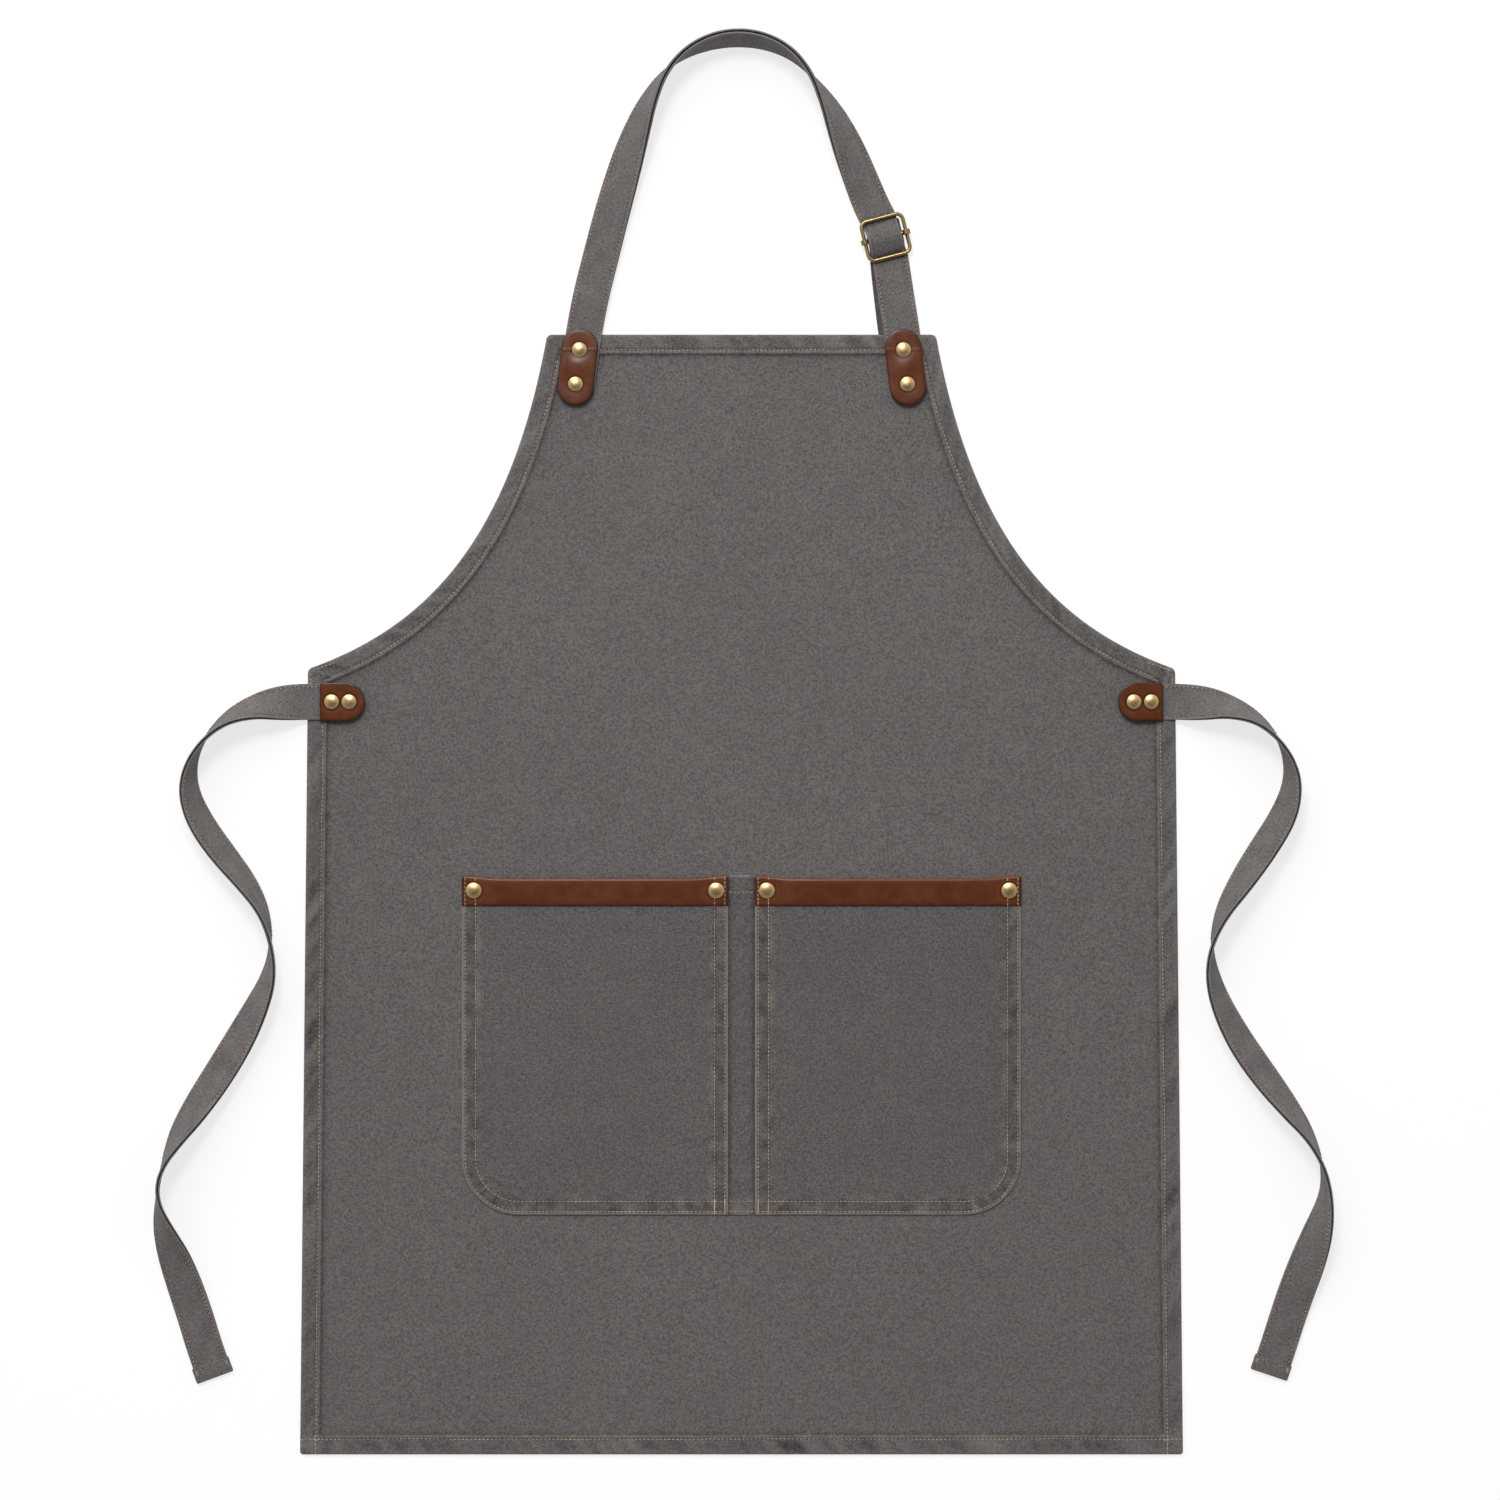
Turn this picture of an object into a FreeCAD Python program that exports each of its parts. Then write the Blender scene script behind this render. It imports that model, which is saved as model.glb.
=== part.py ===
"""Butcher apron, laid flat with its front up: canvas body, leather tabs, brass rivets, neck strap and ties.

Millimetres. X runs across the apron, Y from the bottom hem towards the neck, Z up from the table.
Places along Y are first given as a height above the bottom hem, and at() turns them into the model's frame.
"""

import FreeCAD, Part
import math
import os

from FreeCAD import Vector

# ---- cloth, leather and thread ----
CLOTH = 0.9                 # one ply of canvas
HEM_THICKNESS = 2.4         # turned hem, three plies
HEM_WIDTH = 13.5
HEM_STITCH_INSET = 12.0
STRAP_WIDTH = 28.0
STRAP_THICKNESS = 1.6       # two plies, stitched along both edges
TAB_LEATHER = 2.0
TRIM_LEATHER = 1.2
THREAD_WIDTH = 0.7
THREAD_HEIGHT = 0.35

# ---- body ----
BODY_LENGTH = 869.0
HALF_WIDTH_HEM = 342.6
HALF_WIDTH_SHOULDER = 336.5
SHOULDER_HEIGHT = 609.5
HALF_WIDTH_BIB = 150.8
ARMHOLE_UPPER = (180.9, 701.7)   # the two inner handles of the armhole's curve
ARMHOLE_LOWER = (250.7, 639.8)

# ---- leather tabs ----
NECK_TAB_LENGTH = 59.0
NECK_TAB_WIDTH = 28.5
NECK_TAB_X = 127.1
NECK_TAB_HEIGHT = 843.5
NECK_TAB_LEAN = 6.5              # degrees, tops lean towards the centre line
NECK_RIVET_SPACING = 26.8
WAIST_TAB_LENGTH = 35.0
WAIST_TAB_WIDTH = 29.5
WAIST_TAB_OUTER_X = 326.8
WAIST_TAB_HEIGHT = 584.0
WAIST_RIVET_SPACING = 13.5
WAIST_RIVET_INSET = 9.2
TAB_PAD_INSET = 1.5

# ---- pockets ----
POCKET_INNER_X = 10.4
POCKET_OUTER_X = 216.9
POCKET_BOTTOM = 185.9
POCKET_TOP = 447.9
POCKET_CORNER = 44.0
POCKET_SEAM = 16.5               # flat margin that is sewn to the body
POCKET_SLOPE = 18.0
POCKET_MARGIN_THICKNESS = 1.6
POCKET_UNDERSIDE = 6.6           # height of the panel's inner face where the pocket stands open
POCKET_STITCH_INSETS = (2.5, 10.5)
TRIM_HEIGHT = 22.0
TRIM_TURN_IN = 8.0
TRIM_RIVET_SIDE = 9.2
TRIM_RIVET_DROP = 10.2
CENTRE_STRIP_TOP = 449.5
CENTRE_STRIP_STITCH = 436.3

# ---- rivets ----
TAB_CAP_RADIUS = 5.75
TRIM_CAP_RADIUS = 6.2
CAP_HEIGHT = 2.2
CAP_RIM = 0.7
POST_RADIUS = 1.4
HOLE_RADIUS = 1.45
BACK_CAP_RADIUS = 5.0
BACK_CAP_HEIGHT = 0.5

# ---- strap slider ----
SLIDER_X = 111.7
SLIDER_HEIGHT = 944.0
SLIDER_LEAN = 14.5               # degrees from the centre line's direction
SLIDER_PLANE = 5.6               # height of the wires' centres above the table
WIRE_RADIUS = 1.5
FRAME_HALF_WIDTH = 16.5
FRAME_HALF_LENGTH = 15.5
FRAME_CORNER = 5.0
EYE_RADIUS = 3.2
EYE_BORE = 1.57
EYE_LENGTH = 3.6
BAR_PLAY = 2.2
WINDOW_STRAP_WIDTH = 26.0
HUMP_CENTRE = 9.4                # strap's middle line where it passes over the slider's bar
HUMP_FLAT = 3.0
HUMP_END = 13.2
STAY_WIDTH = 24.0
STAY_PLY = 0.9
STAY_LOWER_WIDTH = 27.0

STATION_STEP = 9.0               # spacing of a strap's cross-sections
STATION_STEP_NEAR_SLIDER = 2.0

# Routes: (x, height above the bottom hem, height of the lower edge above the table, roll in degrees).
# Roll 0 lies flat, 90 stands on edge, past 90 the other face shows.
NECK_ROUTE = [
    (-128.4, 826.1, 2.4, 0),
    (-125.2, 850.5, 2.4, 0),
    (-121.2, 876.0, 2.4, 0),
    (-116.0, 902.1, 2, 0),
    (-109.0, 930.0, 0, 4),
    (-101.2, 960.7, 0, 11),
    (-92.5, 991.1, 0, 21),
    (-83.1, 1021.5, 0, 39),
    (-72.9, 1048.7, 0, 60),
    (-59.7, 1071.6, 0, 78),
    (-39.7, 1087.7, 0, 94),
    (-15.0, 1096.2, 0, 104),
    (11.3, 1096.2, 0, 104),
    (35.9, 1086.9, 0, 96),
    (54.4, 1069.1, 0, 84),
    (67.6, 1047.8, 0, 62),
    (77.7, 1026.0, 0, 41),
    (86.3, 1005.0, 0, 24),
    (94.6, 983.9, 0.6, 11),
    (101.7, 966.6, 1.9, 0),
    (107.6, 956.4, 1.9, 0),
    (115.0, 929.2, 1.9, 0),
]
NECK_END_ROUTE = [
    (115.7, 926.4, 1.9, 0),
    (117.8, 912.6, 1.9, 0),
    (120.7, 893.6, 2.4, 0),
    (124.0, 873.4, 2.4, 0),
    (126.6, 852.5, 2.4, 0),
    (129.2, 826.1, 2.4, 0),
]
LEFT_TIE_ROUTE = [
    (-302.5, 584.0, 2.4, 0),
    (-322.0, 584.2, 2.4, 0),
    (-341.0, 584.0, 2.4, 0),
    (-357.3, 583.1, 2.4, 23),
    (-376.6, 580.7, 0.6, 49),
    (-397.9, 572.2, 0, 69),
    (-414.8, 556.7, 0, 83),
    (-425.6, 536.0, 0, 97),
    (-427.3, 514.3, 0, 113),
    (-418.3, 491.1, 0, 126),
    (-401.3, 467.2, 0, 126),
    (-382.6, 444.8, 0, 116),
    (-368.4, 421.7, 0, 98),
    (-363.1, 396.2, 0, 82),
    (-364.9, 371.4, 0, 63),
    (-375.3, 347.3, 0, 45),
    (-389.5, 320.8, 0, 31),
    (-406.6, 292.9, 0, 30),
    (-423.3, 268.3, 0, 40),
    (-438.2, 245.6, 0, 61),
    (-448.7, 222.6, 0, 85),
    (-451.9, 200.9, 0, 82),
    (-447.0, 175.8, 0, 49),
    (-436.6, 145.4, 0, 14),
    (-424.9, 110.6, 0, 0),
    (-415.6, 79.5, 0, 0),
    (-408.5, 60.5, 0, 0),
]
RIGHT_TIE_ROUTE = [
    (302.5, 584.0, 2.4, 0),
    (322.0, 584.2, 2.4, 0),
    (341.0, 584.0, 2.4, 0),
    (357.4, 583.1, 2.4, 23),
    (375.8, 581.1, 0.6, 49),
    (397.3, 573.0, 0, 69),
    (413.4, 558.2, 0, 81),
    (423.3, 538.9, 0, 96),
    (425.8, 518.9, 0, 111),
    (419.2, 495.7, 0, 128),
    (403.8, 470.9, 0, 132),
    (386.6, 445.5, 0, 124),
    (370.9, 420.9, 0, 104),
    (363.1, 396.9, 0, 84),
    (363.3, 373.8, 0, 65),
    (371.3, 349.0, 0, 51),
    (386.2, 320.9, 0, 40),
    (404.7, 294.6, 0, 40),
    (423.7, 270.1, 0, 53),
    (439.7, 248.8, 0, 71),
    (449.6, 225.7, 0, 85),
    (452.0, 202.5, 0, 98),
    (446.9, 177.5, 0, 127),
    (437.8, 148.8, 0, 156),
    (426.4, 115.2, 0, 180),
    (415.6, 81.1, 0, 180),
    (409.3, 62.5, 0, 180),
]


def tab_top():
    """Height of the neck tabs' upper ends above the bottom hem."""
    reach = (NECK_TAB_LENGTH - NECK_TAB_WIDTH) / 2
    return NECK_TAB_HEIGHT + reach * math.cos(math.radians(NECK_TAB_LEAN)) + NECK_TAB_WIDTH / 2


ORIGIN_HEIGHT = tab_top() / 2    # the frame's origin, halfway from the bottom hem to the tabs' upper ends
RIGHT, LEFT = 1, -1


def at(x, height, z=0.0):
    """A point given by its height above the bottom hem."""
    return Vector(x, height - ORIGIN_HEIGHT, z)


def place(shape, x, height, turn=0.0, z=0.0):
    """Turn a shape about Z at the origin, then carry it to its place."""
    placed = shape.copy()
    placed.rotate(Vector(0, 0, 0), Vector(0, 0, 1), turn)
    placed.translate(at(x, height, z))
    return placed


def prism(wire, low, high):
    """Upright solid on a closed flat wire drawn at z = 0."""
    face = Part.Face(wire)
    face.translate(Vector(0, 0, low))
    return face.extrude(Vector(0, 0, high - low))


def slab(x_low, x_high, height_low, height_high, z_low, z_high):
    """Box between two heights above the bottom hem."""
    corner = at(x_low, height_low, z_low)
    return Part.makeBox(x_high - x_low, height_high - height_low, z_high - z_low, corner)


def cylinder(radius, low, high, x=0.0, height=None):
    """Upright cylinder; with no height given it stands on the model's own origin."""
    foot = Vector(x, 0, low) if height is None else at(x, height, low)
    return Part.makeCylinder(radius, high - low, foot)


# ---------------------------------------------------------------- places of the rivets

def neck_tab_lean(side):
    return NECK_TAB_LEAN * side


def neck_rivets(side):
    """The two rivets of a neck tab, as (x, height)."""
    lean = math.radians(NECK_TAB_LEAN)
    half = NECK_RIVET_SPACING / 2
    step_x, step_y = -side * half * math.sin(lean), half * math.cos(lean)
    return [
        (side * NECK_TAB_X + step_x * sign, NECK_TAB_HEIGHT + step_y * sign)
        for sign in (-1, 1)
    ]


def waist_rivets(side):
    """The two rivets of a waist tab, as (x, height)."""
    first = WAIST_TAB_OUTER_X - WAIST_RIVET_INSET
    return [(side * (first - n * WAIST_RIVET_SPACING), WAIST_TAB_HEIGHT) for n in range(2)]


def trim_rivets(side):
    """The rivets at the two ends of a pocket's leather trim, as (x, height)."""
    height = POCKET_TOP - TRIM_RIVET_DROP
    ends = (POCKET_INNER_X + TRIM_RIVET_SIDE, POCKET_OUTER_X - TRIM_RIVET_SIDE)
    return [(side * x, height) for x in ends]


def drill(shape, rivets):
    """Cut the posts' holes right through a shape."""
    for x, height in rivets:
        shape = shape.cut(cylinder(HOLE_RADIUS, -1, 30, x, height))
    return shape


# ---------------------------------------------------------------- body

def body_wire():
    """Outline of the apron: bottom hem, flared sides, armhole curves and bib."""
    def curve(side):
        handles = [(HALF_WIDTH_SHOULDER, SHOULDER_HEIGHT), ARMHOLE_LOWER, ARMHOLE_UPPER,
                   (HALF_WIDTH_BIB, BODY_LENGTH)]
        bezier = Part.BezierCurve()
        bezier.setPoles([at(side * x, height) for x, height in handles])
        return bezier.toShape()

    corner = {
        (side, end): at(side * x, height)
        for side in (LEFT, RIGHT)
        for end, x, height in (
            ("hem", HALF_WIDTH_HEM, 0),
            ("shoulder", HALF_WIDTH_SHOULDER, SHOULDER_HEIGHT),
            ("bib", HALF_WIDTH_BIB, BODY_LENGTH),
        )
    }
    edges = [
        Part.makeLine(corner[LEFT, "hem"], corner[RIGHT, "hem"]),
        Part.makeLine(corner[RIGHT, "hem"], corner[RIGHT, "shoulder"]),
        curve(RIGHT),
        Part.makeLine(corner[RIGHT, "bib"], corner[LEFT, "bib"]),
        curve(LEFT),
        Part.makeLine(corner[LEFT, "shoulder"], corner[LEFT, "hem"]),
    ]
    return Part.Wire(Part.__sortEdges__(edges))


def inset_wire(inset):
    """Body outline moved inwards, with each offset curve made a plain spline."""
    edges = []
    for edge in Part.__sortEdges__(body_wire().makeOffset2D(-inset).Edges):
        if edge.Curve.TypeId != "Part::GeomLine":
            edge = edge.Curve.toBSpline(*edge.ParameterRange).toShape()
        edges.append(edge)
    return Part.Wire(Part.__sortEdges__(edges))


def neck_tab_wire(side, inset=0.0):
    """Stadium outline of a neck tab, drawn in its place."""
    radius = NECK_TAB_WIDTH / 2 - inset
    half = (NECK_TAB_LENGTH - NECK_TAB_WIDTH) / 2
    right, left = Vector(radius, 0, 0), Vector(-radius, 0, 0)
    up = Vector(0, half, 0)
    edges = [
        Part.makeLine(right - up, right + up),
        Part.Arc(right + up, Vector(0, half + radius, 0), left + up).toShape(),
        Part.makeLine(left + up, left - up),
        Part.Arc(left - up, Vector(0, -half - radius, 0), right - up).toShape(),
    ]
    return place(Part.Wire(edges), side * NECK_TAB_X, NECK_TAB_HEIGHT, neck_tab_lean(side))


def waist_tab_wire(side, inset=0.0):
    """Outline of a waist tab: square outer end, round inner end."""
    radius = WAIST_TAB_WIDTH / 2 - inset
    outer = side * (WAIST_TAB_OUTER_X - inset)
    centre = side * (WAIST_TAB_OUTER_X - WAIST_TAB_LENGTH + WAIST_TAB_WIDTH / 2)
    tip = centre - side * radius
    low, high = WAIST_TAB_HEIGHT - radius, WAIST_TAB_HEIGHT + radius
    edges = [
        Part.makeLine(at(outer, low), at(outer, high)),
        Part.makeLine(at(outer, high), at(centre, high)),
        Part.Arc(at(centre, high), at(tip, WAIST_TAB_HEIGHT), at(centre, low)).toShape(),
        Part.makeLine(at(centre, low), at(outer, low)),
    ]
    return Part.Wire(edges)


def body_panel():
    """Canvas body: one ply, a thick turned hem all round, and a doubled patch under each tab."""
    outline = body_wire()
    body = prism(outline, 0, CLOTH)
    hem = prism(outline, 0, HEM_THICKNESS).cut(prism(inset_wire(HEM_WIDTH), -1, HEM_THICKNESS + 1))
    body = body.fuse(hem)
    limit = prism(outline, 0, HEM_THICKNESS)
    for side in (LEFT, RIGHT):
        for wire in (neck_tab_wire(side, TAB_PAD_INSET), waist_tab_wire(side, TAB_PAD_INSET)):
            body = body.fuse(prism(wire, 0, HEM_THICKNESS).common(limit))
    body = body.removeSplitter()
    for side in (LEFT, RIGHT):
        for rivets in (neck_rivets(side), waist_rivets(side), trim_rivets(side)):
            body = drill(body, rivets)
            for x, height in rivets:
                body = body.cut(cylinder(BACK_CAP_RADIUS + 0.05, -1, BACK_CAP_HEIGHT, x, height))
    return body.cut(stay_seat())


def hem_thread(neighbours):
    """Seam that holds the hem down, cut away where a tab or a strap covers it."""
    half = THREAD_WIDTH / 2
    low, high = HEM_THICKNESS, HEM_THICKNESS + THREAD_HEIGHT
    seam = prism(inset_wire(HEM_STITCH_INSET - half), low, high)
    seam = seam.cut(prism(inset_wire(HEM_STITCH_INSET + half), low - 1, high + 1))
    for piece in neighbours:
        seam = seam.cut(piece)
    return seam


# ---------------------------------------------------------------- leather tabs and rivets

def soften(shape, radius, z):
    """Round the edges of a flat piece that lie at height z."""
    rim = [e for e in shape.Edges if all(abs(v.Z - z) < 1e-6 for v in e.Vertexes)]
    return shape.makeFillet(radius, rim)


def leather_tab(wire, rivets):
    """Flat leather piece over a strap's end, with a rounded upper rim."""
    low = HEM_THICKNESS + STRAP_THICKNESS
    blank = soften(prism(wire, low, low + TAB_LEATHER), 0.7, low + TAB_LEATHER)
    return drill(blank, rivets)


def rivet_cap(radius, seat):
    """Domed cap with its post, reaching down through the layers to the back cap."""
    rise = CAP_HEIGHT - CAP_RIM
    sphere = (radius * radius + rise * rise) / (2 * rise)
    crown = Vector(0, 0, seat + CAP_HEIGHT)
    shoulder = Vector(radius, 0, seat + CAP_RIM)
    middle_turn = math.asin(radius / sphere) / 2
    middle = Vector(
        sphere * math.sin(middle_turn), 0, seat + CAP_HEIGHT - sphere * (1 - math.cos(middle_turn))
    )
    foot = Vector(0, 0, BACK_CAP_HEIGHT)
    points = [
        shoulder,
        Vector(radius, 0, seat),
        Vector(POST_RADIUS, 0, seat),
        Vector(POST_RADIUS, 0, BACK_CAP_HEIGHT),
        foot,
    ]
    edges = [Part.Arc(crown, middle, shoulder).toShape()]
    edges += [Part.makeLine(a, b) for a, b in zip(points, points[1:])]
    edges.append(Part.makeLine(foot, crown))
    return Part.Face(Part.Wire(edges)).revolve(Vector(0, 0, 0), Vector(0, 0, 1), 360)


def rivet_caps(rivets, radius, seat):
    cap = rivet_cap(radius, seat)
    return Part.makeCompound([place(cap, x, height) for x, height in rivets])


def rivet_backs(rivets):
    """Flat back caps, let into the underside of the body."""
    back = cylinder(BACK_CAP_RADIUS, 0, BACK_CAP_HEIGHT)
    return Part.makeCompound([place(back, x, height) for x, height in rivets])


# ---------------------------------------------------------------- pockets

def pocket_wire(side, inset, top):
    """Pocket outline with only its outer bottom corner rounded; inset leaves the mouth edge alone."""
    inner = side * (POCKET_INNER_X + inset)
    outer = side * (POCKET_OUTER_X - inset)
    low = POCKET_BOTTOM + inset
    radius = POCKET_CORNER - inset
    bend_x = outer - side * radius
    middle_x = bend_x + side * radius * math.sin(math.pi / 4)
    middle_height = low + radius * (1 - math.cos(math.pi / 4))
    edges = [
        Part.makeLine(at(inner, low), at(bend_x, low)),
        Part.Arc(at(bend_x, low), at(middle_x, middle_height), at(outer, low + radius)).toShape(),
        Part.makeLine(at(outer, low + radius), at(outer, top)),
        Part.makeLine(at(outer, top), at(inner, top)),
        Part.makeLine(at(inner, top), at(inner, low)),
    ]
    return Part.Wire(edges)


def raised(side, low_inset, z_low, z_high, top):
    """Solid that rises from a wide outline to a smaller one, upright at the pocket's mouth."""
    base = pocket_wire(side, low_inset, top)
    crown = pocket_wire(side, low_inset + POCKET_SLOPE, top)
    base.translate(Vector(0, 0, z_low))
    crown.translate(Vector(0, 0, z_high))
    return Part.makeLoft([base, crown], True, True)


def pocket_skin(side, rise, top):
    """Everything under the pocket panel's outer face, lifted by rise."""
    margin = CLOTH + POCKET_MARGIN_THICKNESS + rise
    flat = prism(pocket_wire(side, 0, top), CLOTH, margin)
    return flat.fuse(raised(side, POCKET_SEAM, margin, POCKET_UNDERSIDE + CLOTH + rise, top))


def pocket_space(side, drop, top):
    """The space inside the pocket, less a lining of the given thickness."""
    return raised(side, POCKET_SEAM + 1.0, CLOTH, POCKET_UNDERSIDE - drop, top)


def band(side, height_low, height_high):
    """Box over one pocket between two heights."""
    low, high = sorted((side * (POCKET_INNER_X - 5), side * (POCKET_OUTER_X + 5)))
    return slab(low, high, height_low, height_high, 0, 20)


def pocket_panel(side):
    """Patch pocket: a sewn margin on three sides and a face that stands open at its mouth."""
    past_mouth = POCKET_TOP + 5
    panel = pocket_skin(side, 0, POCKET_TOP).cut(pocket_space(side, 0, past_mouth))
    return drill(panel, trim_rivets(side))


def pocket_trim(side):
    """Leather binding folded over the mouth: a face strip, the fold, and a short turn-in."""
    past_mouth = POCKET_TOP + 5
    face = pocket_skin(side, TRIM_LEATHER, POCKET_TOP).cut(pocket_skin(side, 0, POCKET_TOP))
    face = face.common(band(side, POCKET_TOP - TRIM_HEIGHT, POCKET_TOP))
    fold = pocket_skin(side, TRIM_LEATHER, POCKET_TOP + TRIM_LEATHER)
    fold = fold.cut(pocket_space(side, TRIM_LEATHER, past_mouth))
    fold = fold.common(band(side, POCKET_TOP, POCKET_TOP + TRIM_LEATHER))
    turn_in = pocket_space(side, 0, POCKET_TOP).cut(pocket_space(side, TRIM_LEATHER, past_mouth))
    turn_in = turn_in.common(band(side, POCKET_TOP - TRIM_TURN_IN, POCKET_TOP))
    trim = face.fuse([fold, turn_in]).removeSplitter()
    return drill(trim, trim_rivets(side))


def pocket_thread(side):
    """Two rows of stitching round three sides of a pocket, running up over the trim's ends."""
    half = THREAD_WIDTH / 2
    cloth_top = CLOTH + POCKET_MARGIN_THICKNESS
    leather_top = cloth_top + TRIM_LEATHER
    rows = []
    for inset in POCKET_STITCH_INSETS:
        for z, low, high in (
            (cloth_top, POCKET_BOTTOM, POCKET_TOP - TRIM_HEIGHT),
            (leather_top, POCKET_TOP - TRIM_HEIGHT, POCKET_TOP),
        ):
            outer = prism(pocket_wire(side, inset - half, POCKET_TOP + 5), z, z + THREAD_HEIGHT)
            row = outer.cut(prism(pocket_wire(side, inset + half, POCKET_TOP + 6), 0, 20))
            rows.append(row.common(band(side, low, high)))
    seam = rows[0].fuse(rows[1:])
    for x, height in trim_rivets(side):
        seam = seam.cut(cylinder(TRIM_CAP_RADIUS + 0.1, 0, 20, x, height))
    return seam


def pen_slot_panel():
    """Narrow canvas strip between the two pockets; its mouth lies closed."""
    return slab(-POCKET_INNER_X, POCKET_INNER_X, POCKET_BOTTOM, CENTRE_STRIP_TOP, CLOTH, 2 * CLOTH)


def pen_slot_thread():
    """Mouth hem and the two bottom rows of the centre strip."""
    z = 2 * CLOTH
    reach = POCKET_INNER_X - 0.2
    half = THREAD_WIDTH / 2
    heights = [CENTRE_STRIP_STITCH] + [POCKET_BOTTOM + inset for inset in POCKET_STITCH_INSETS]
    rows = [slab(-reach, reach, h - half, h + half, z, z + THREAD_HEIGHT) for h in heights]
    return Part.makeCompound(rows)


# ---------------------------------------------------------------- straps

def from_slider(point):
    """Distance in plan from the middle of the slider's bar."""
    return math.hypot(point.x - SLIDER_X, point.y - SLIDER_HEIGHT)


def evenly(length, beside):
    """Shares of a stretch at which its stations stand, closer together beside the slider."""
    near = from_slider(beside) < 2 * FRAME_HALF_LENGTH
    steps = max(2, round(length / (STATION_STEP_NEAR_SLIDER if near else STATION_STEP)))
    return [n / steps for n in range(1, steps + 1)]


def rounded_stations(name, route):
    """Stations along straight runs joined by tangent arcs, each with its place along the list of points."""
    points = [Vector(x, height, 0) for x, height, _, _ in route]
    runs = [b.sub(a) for a, b in zip(points, points[1:])]
    units = [Vector(run).normalize() for run in runs]
    stations = [(points[0], 0.0)]
    radii = []
    start = points[0]
    for i, unit in enumerate(units):
        last = i == len(units) - 1
        trim = 0.0 if last else 0.45 * min(runs[i].Length, runs[i + 1].Length)
        end = points[i + 1].sub(Vector(unit).multiply(trim))
        for share in evenly(end.distanceToPoint(start), start):
            spot = start.add(end.sub(start).multiply(share))
            stations.append((spot, i + spot.distanceToPoint(points[i]) / runs[i].Length))
        if last:
            break
        turn = unit.getAngle(units[i + 1])
        radius = trim / math.tan(turn / 2)
        radii.append(radius)
        left = Vector(-unit.y, unit.x, 0)
        hand = 1 if left.dot(units[i + 1]) > 0 else -1
        centre = end.add(Vector(left).multiply(hand * radius))
        before, after = i + 1 - trim / runs[i].Length, i + 1 + trim / runs[i + 1].Length
        for share in evenly(radius * turn, end):
            out = Vector(left).multiply(-hand * radius * math.cos(turn * share))
            along = Vector(unit).multiply(radius * math.sin(turn * share))
            stations.append((centre.add(out).add(along), before + (after - before) * share))
        start = stations[-1][0]
    print(f"{name}: arc radii " + " ".join(f"{r:.0f}" for r in radii))
    return stations


def hump(point):
    """Share of the rise over the slider's bar: 1 on the bar, 0 under the frame's cross wires."""
    share = (HUMP_END - from_slider(point)) / (HUMP_END - HUMP_FLAT)
    share = min(1.0, max(0.0, share))
    return share * share * (3 - 2 * share)


def strap_sections(name, route, side):
    """The four corners of the strap's cross-section at each station."""
    centres = []
    for spot, where in rounded_stations(name, route):
        i = min(int(where), len(route) - 2)
        share = where - i
        base = route[i][2] * (1 - share) + route[i + 1][2] * share
        roll = math.radians(route[i][3] * (1 - share) + route[i + 1][3] * share)
        rise = STRAP_WIDTH / 2 * abs(math.sin(roll)) + STRAP_THICKNESS / 2 * abs(math.cos(roll))
        lift = hump(spot)
        z = (base + rise) * (1 - lift) + HUMP_CENTRE * lift
        width = STRAP_WIDTH + (WINDOW_STRAP_WIDTH - STRAP_WIDTH) * min(1.0, 2 * lift)
        centres.append((at(spot.x, spot.y, z), roll, width))
    sections = []
    for n, (centre, roll, width) in enumerate(centres):
        before, after = centres[max(n - 1, 0)][0], centres[min(n + 1, len(centres) - 1)][0]
        ahead = after.sub(before).normalize()
        plan = Vector(ahead.x, ahead.y, 0).normalize()
        level = Vector(plan.y, -plan.x, 0).multiply(side)
        edge = level.multiply(math.cos(roll)).add(Vector(0, 0, math.sin(roll)))
        edge = edge.sub(Vector(ahead).multiply(edge.dot(ahead))).normalize()
        face = edge.cross(ahead).normalize()
        half = Vector(edge).multiply(width / 2)
        ply = Vector(face).multiply(STRAP_THICKNESS / 2)
        corners = [half.add(ply), ply.sub(half), Vector(0, 0, 0).sub(half.add(ply)), half.sub(ply)]
        sections.append([centre.add(c) for c in corners])
    return sections


def triangle(a, b, c):
    return Part.Face(Part.makePolygon([a, b, c, a]))


def strap(name, route, side):
    """Twisting strap of oblong section, closed at both ends."""
    sections = strap_sections(name, route, side)
    first, last = sections[0], sections[-1]
    faces = [triangle(first[0], first[1], first[2]), triangle(first[0], first[2], first[3])]
    faces += [triangle(last[0], last[2], last[1]), triangle(last[0], last[3], last[2])]
    for near, far in zip(sections, sections[1:]):
        for n, m in ((0, 1), (1, 2)):
            faces.append(triangle(near[n], far[n], near[m]))
            faces.append(triangle(near[m], far[n], far[m]))
        for n, m in ((2, 3), (3, 0)):
            faces.append(triangle(near[n], far[n], far[m]))
            faces.append(triangle(near[n], far[m], near[m]))
    solid = Part.Solid(Part.makeShell(faces))
    if solid.Volume < 0:
        solid.reverse()
    middles = [s[0].add(s[2]).multiply(0.5) for s in sections]
    length = sum(a.distanceToPoint(b) for a, b in zip(middles, middles[1:]))
    expected = length * STRAP_WIDTH * STRAP_THICKNESS
    print(f"{name}: length {length:.0f}, volume {solid.Volume:.0f} against {expected:.0f}")
    return solid


# ---------------------------------------------------------------- slider

def slider_place(shape):
    """Carry a shape from the slider's own frame, bar along X, to its place."""
    return place(shape, SLIDER_X, SLIDER_HEIGHT, SLIDER_LEAN)


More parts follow.
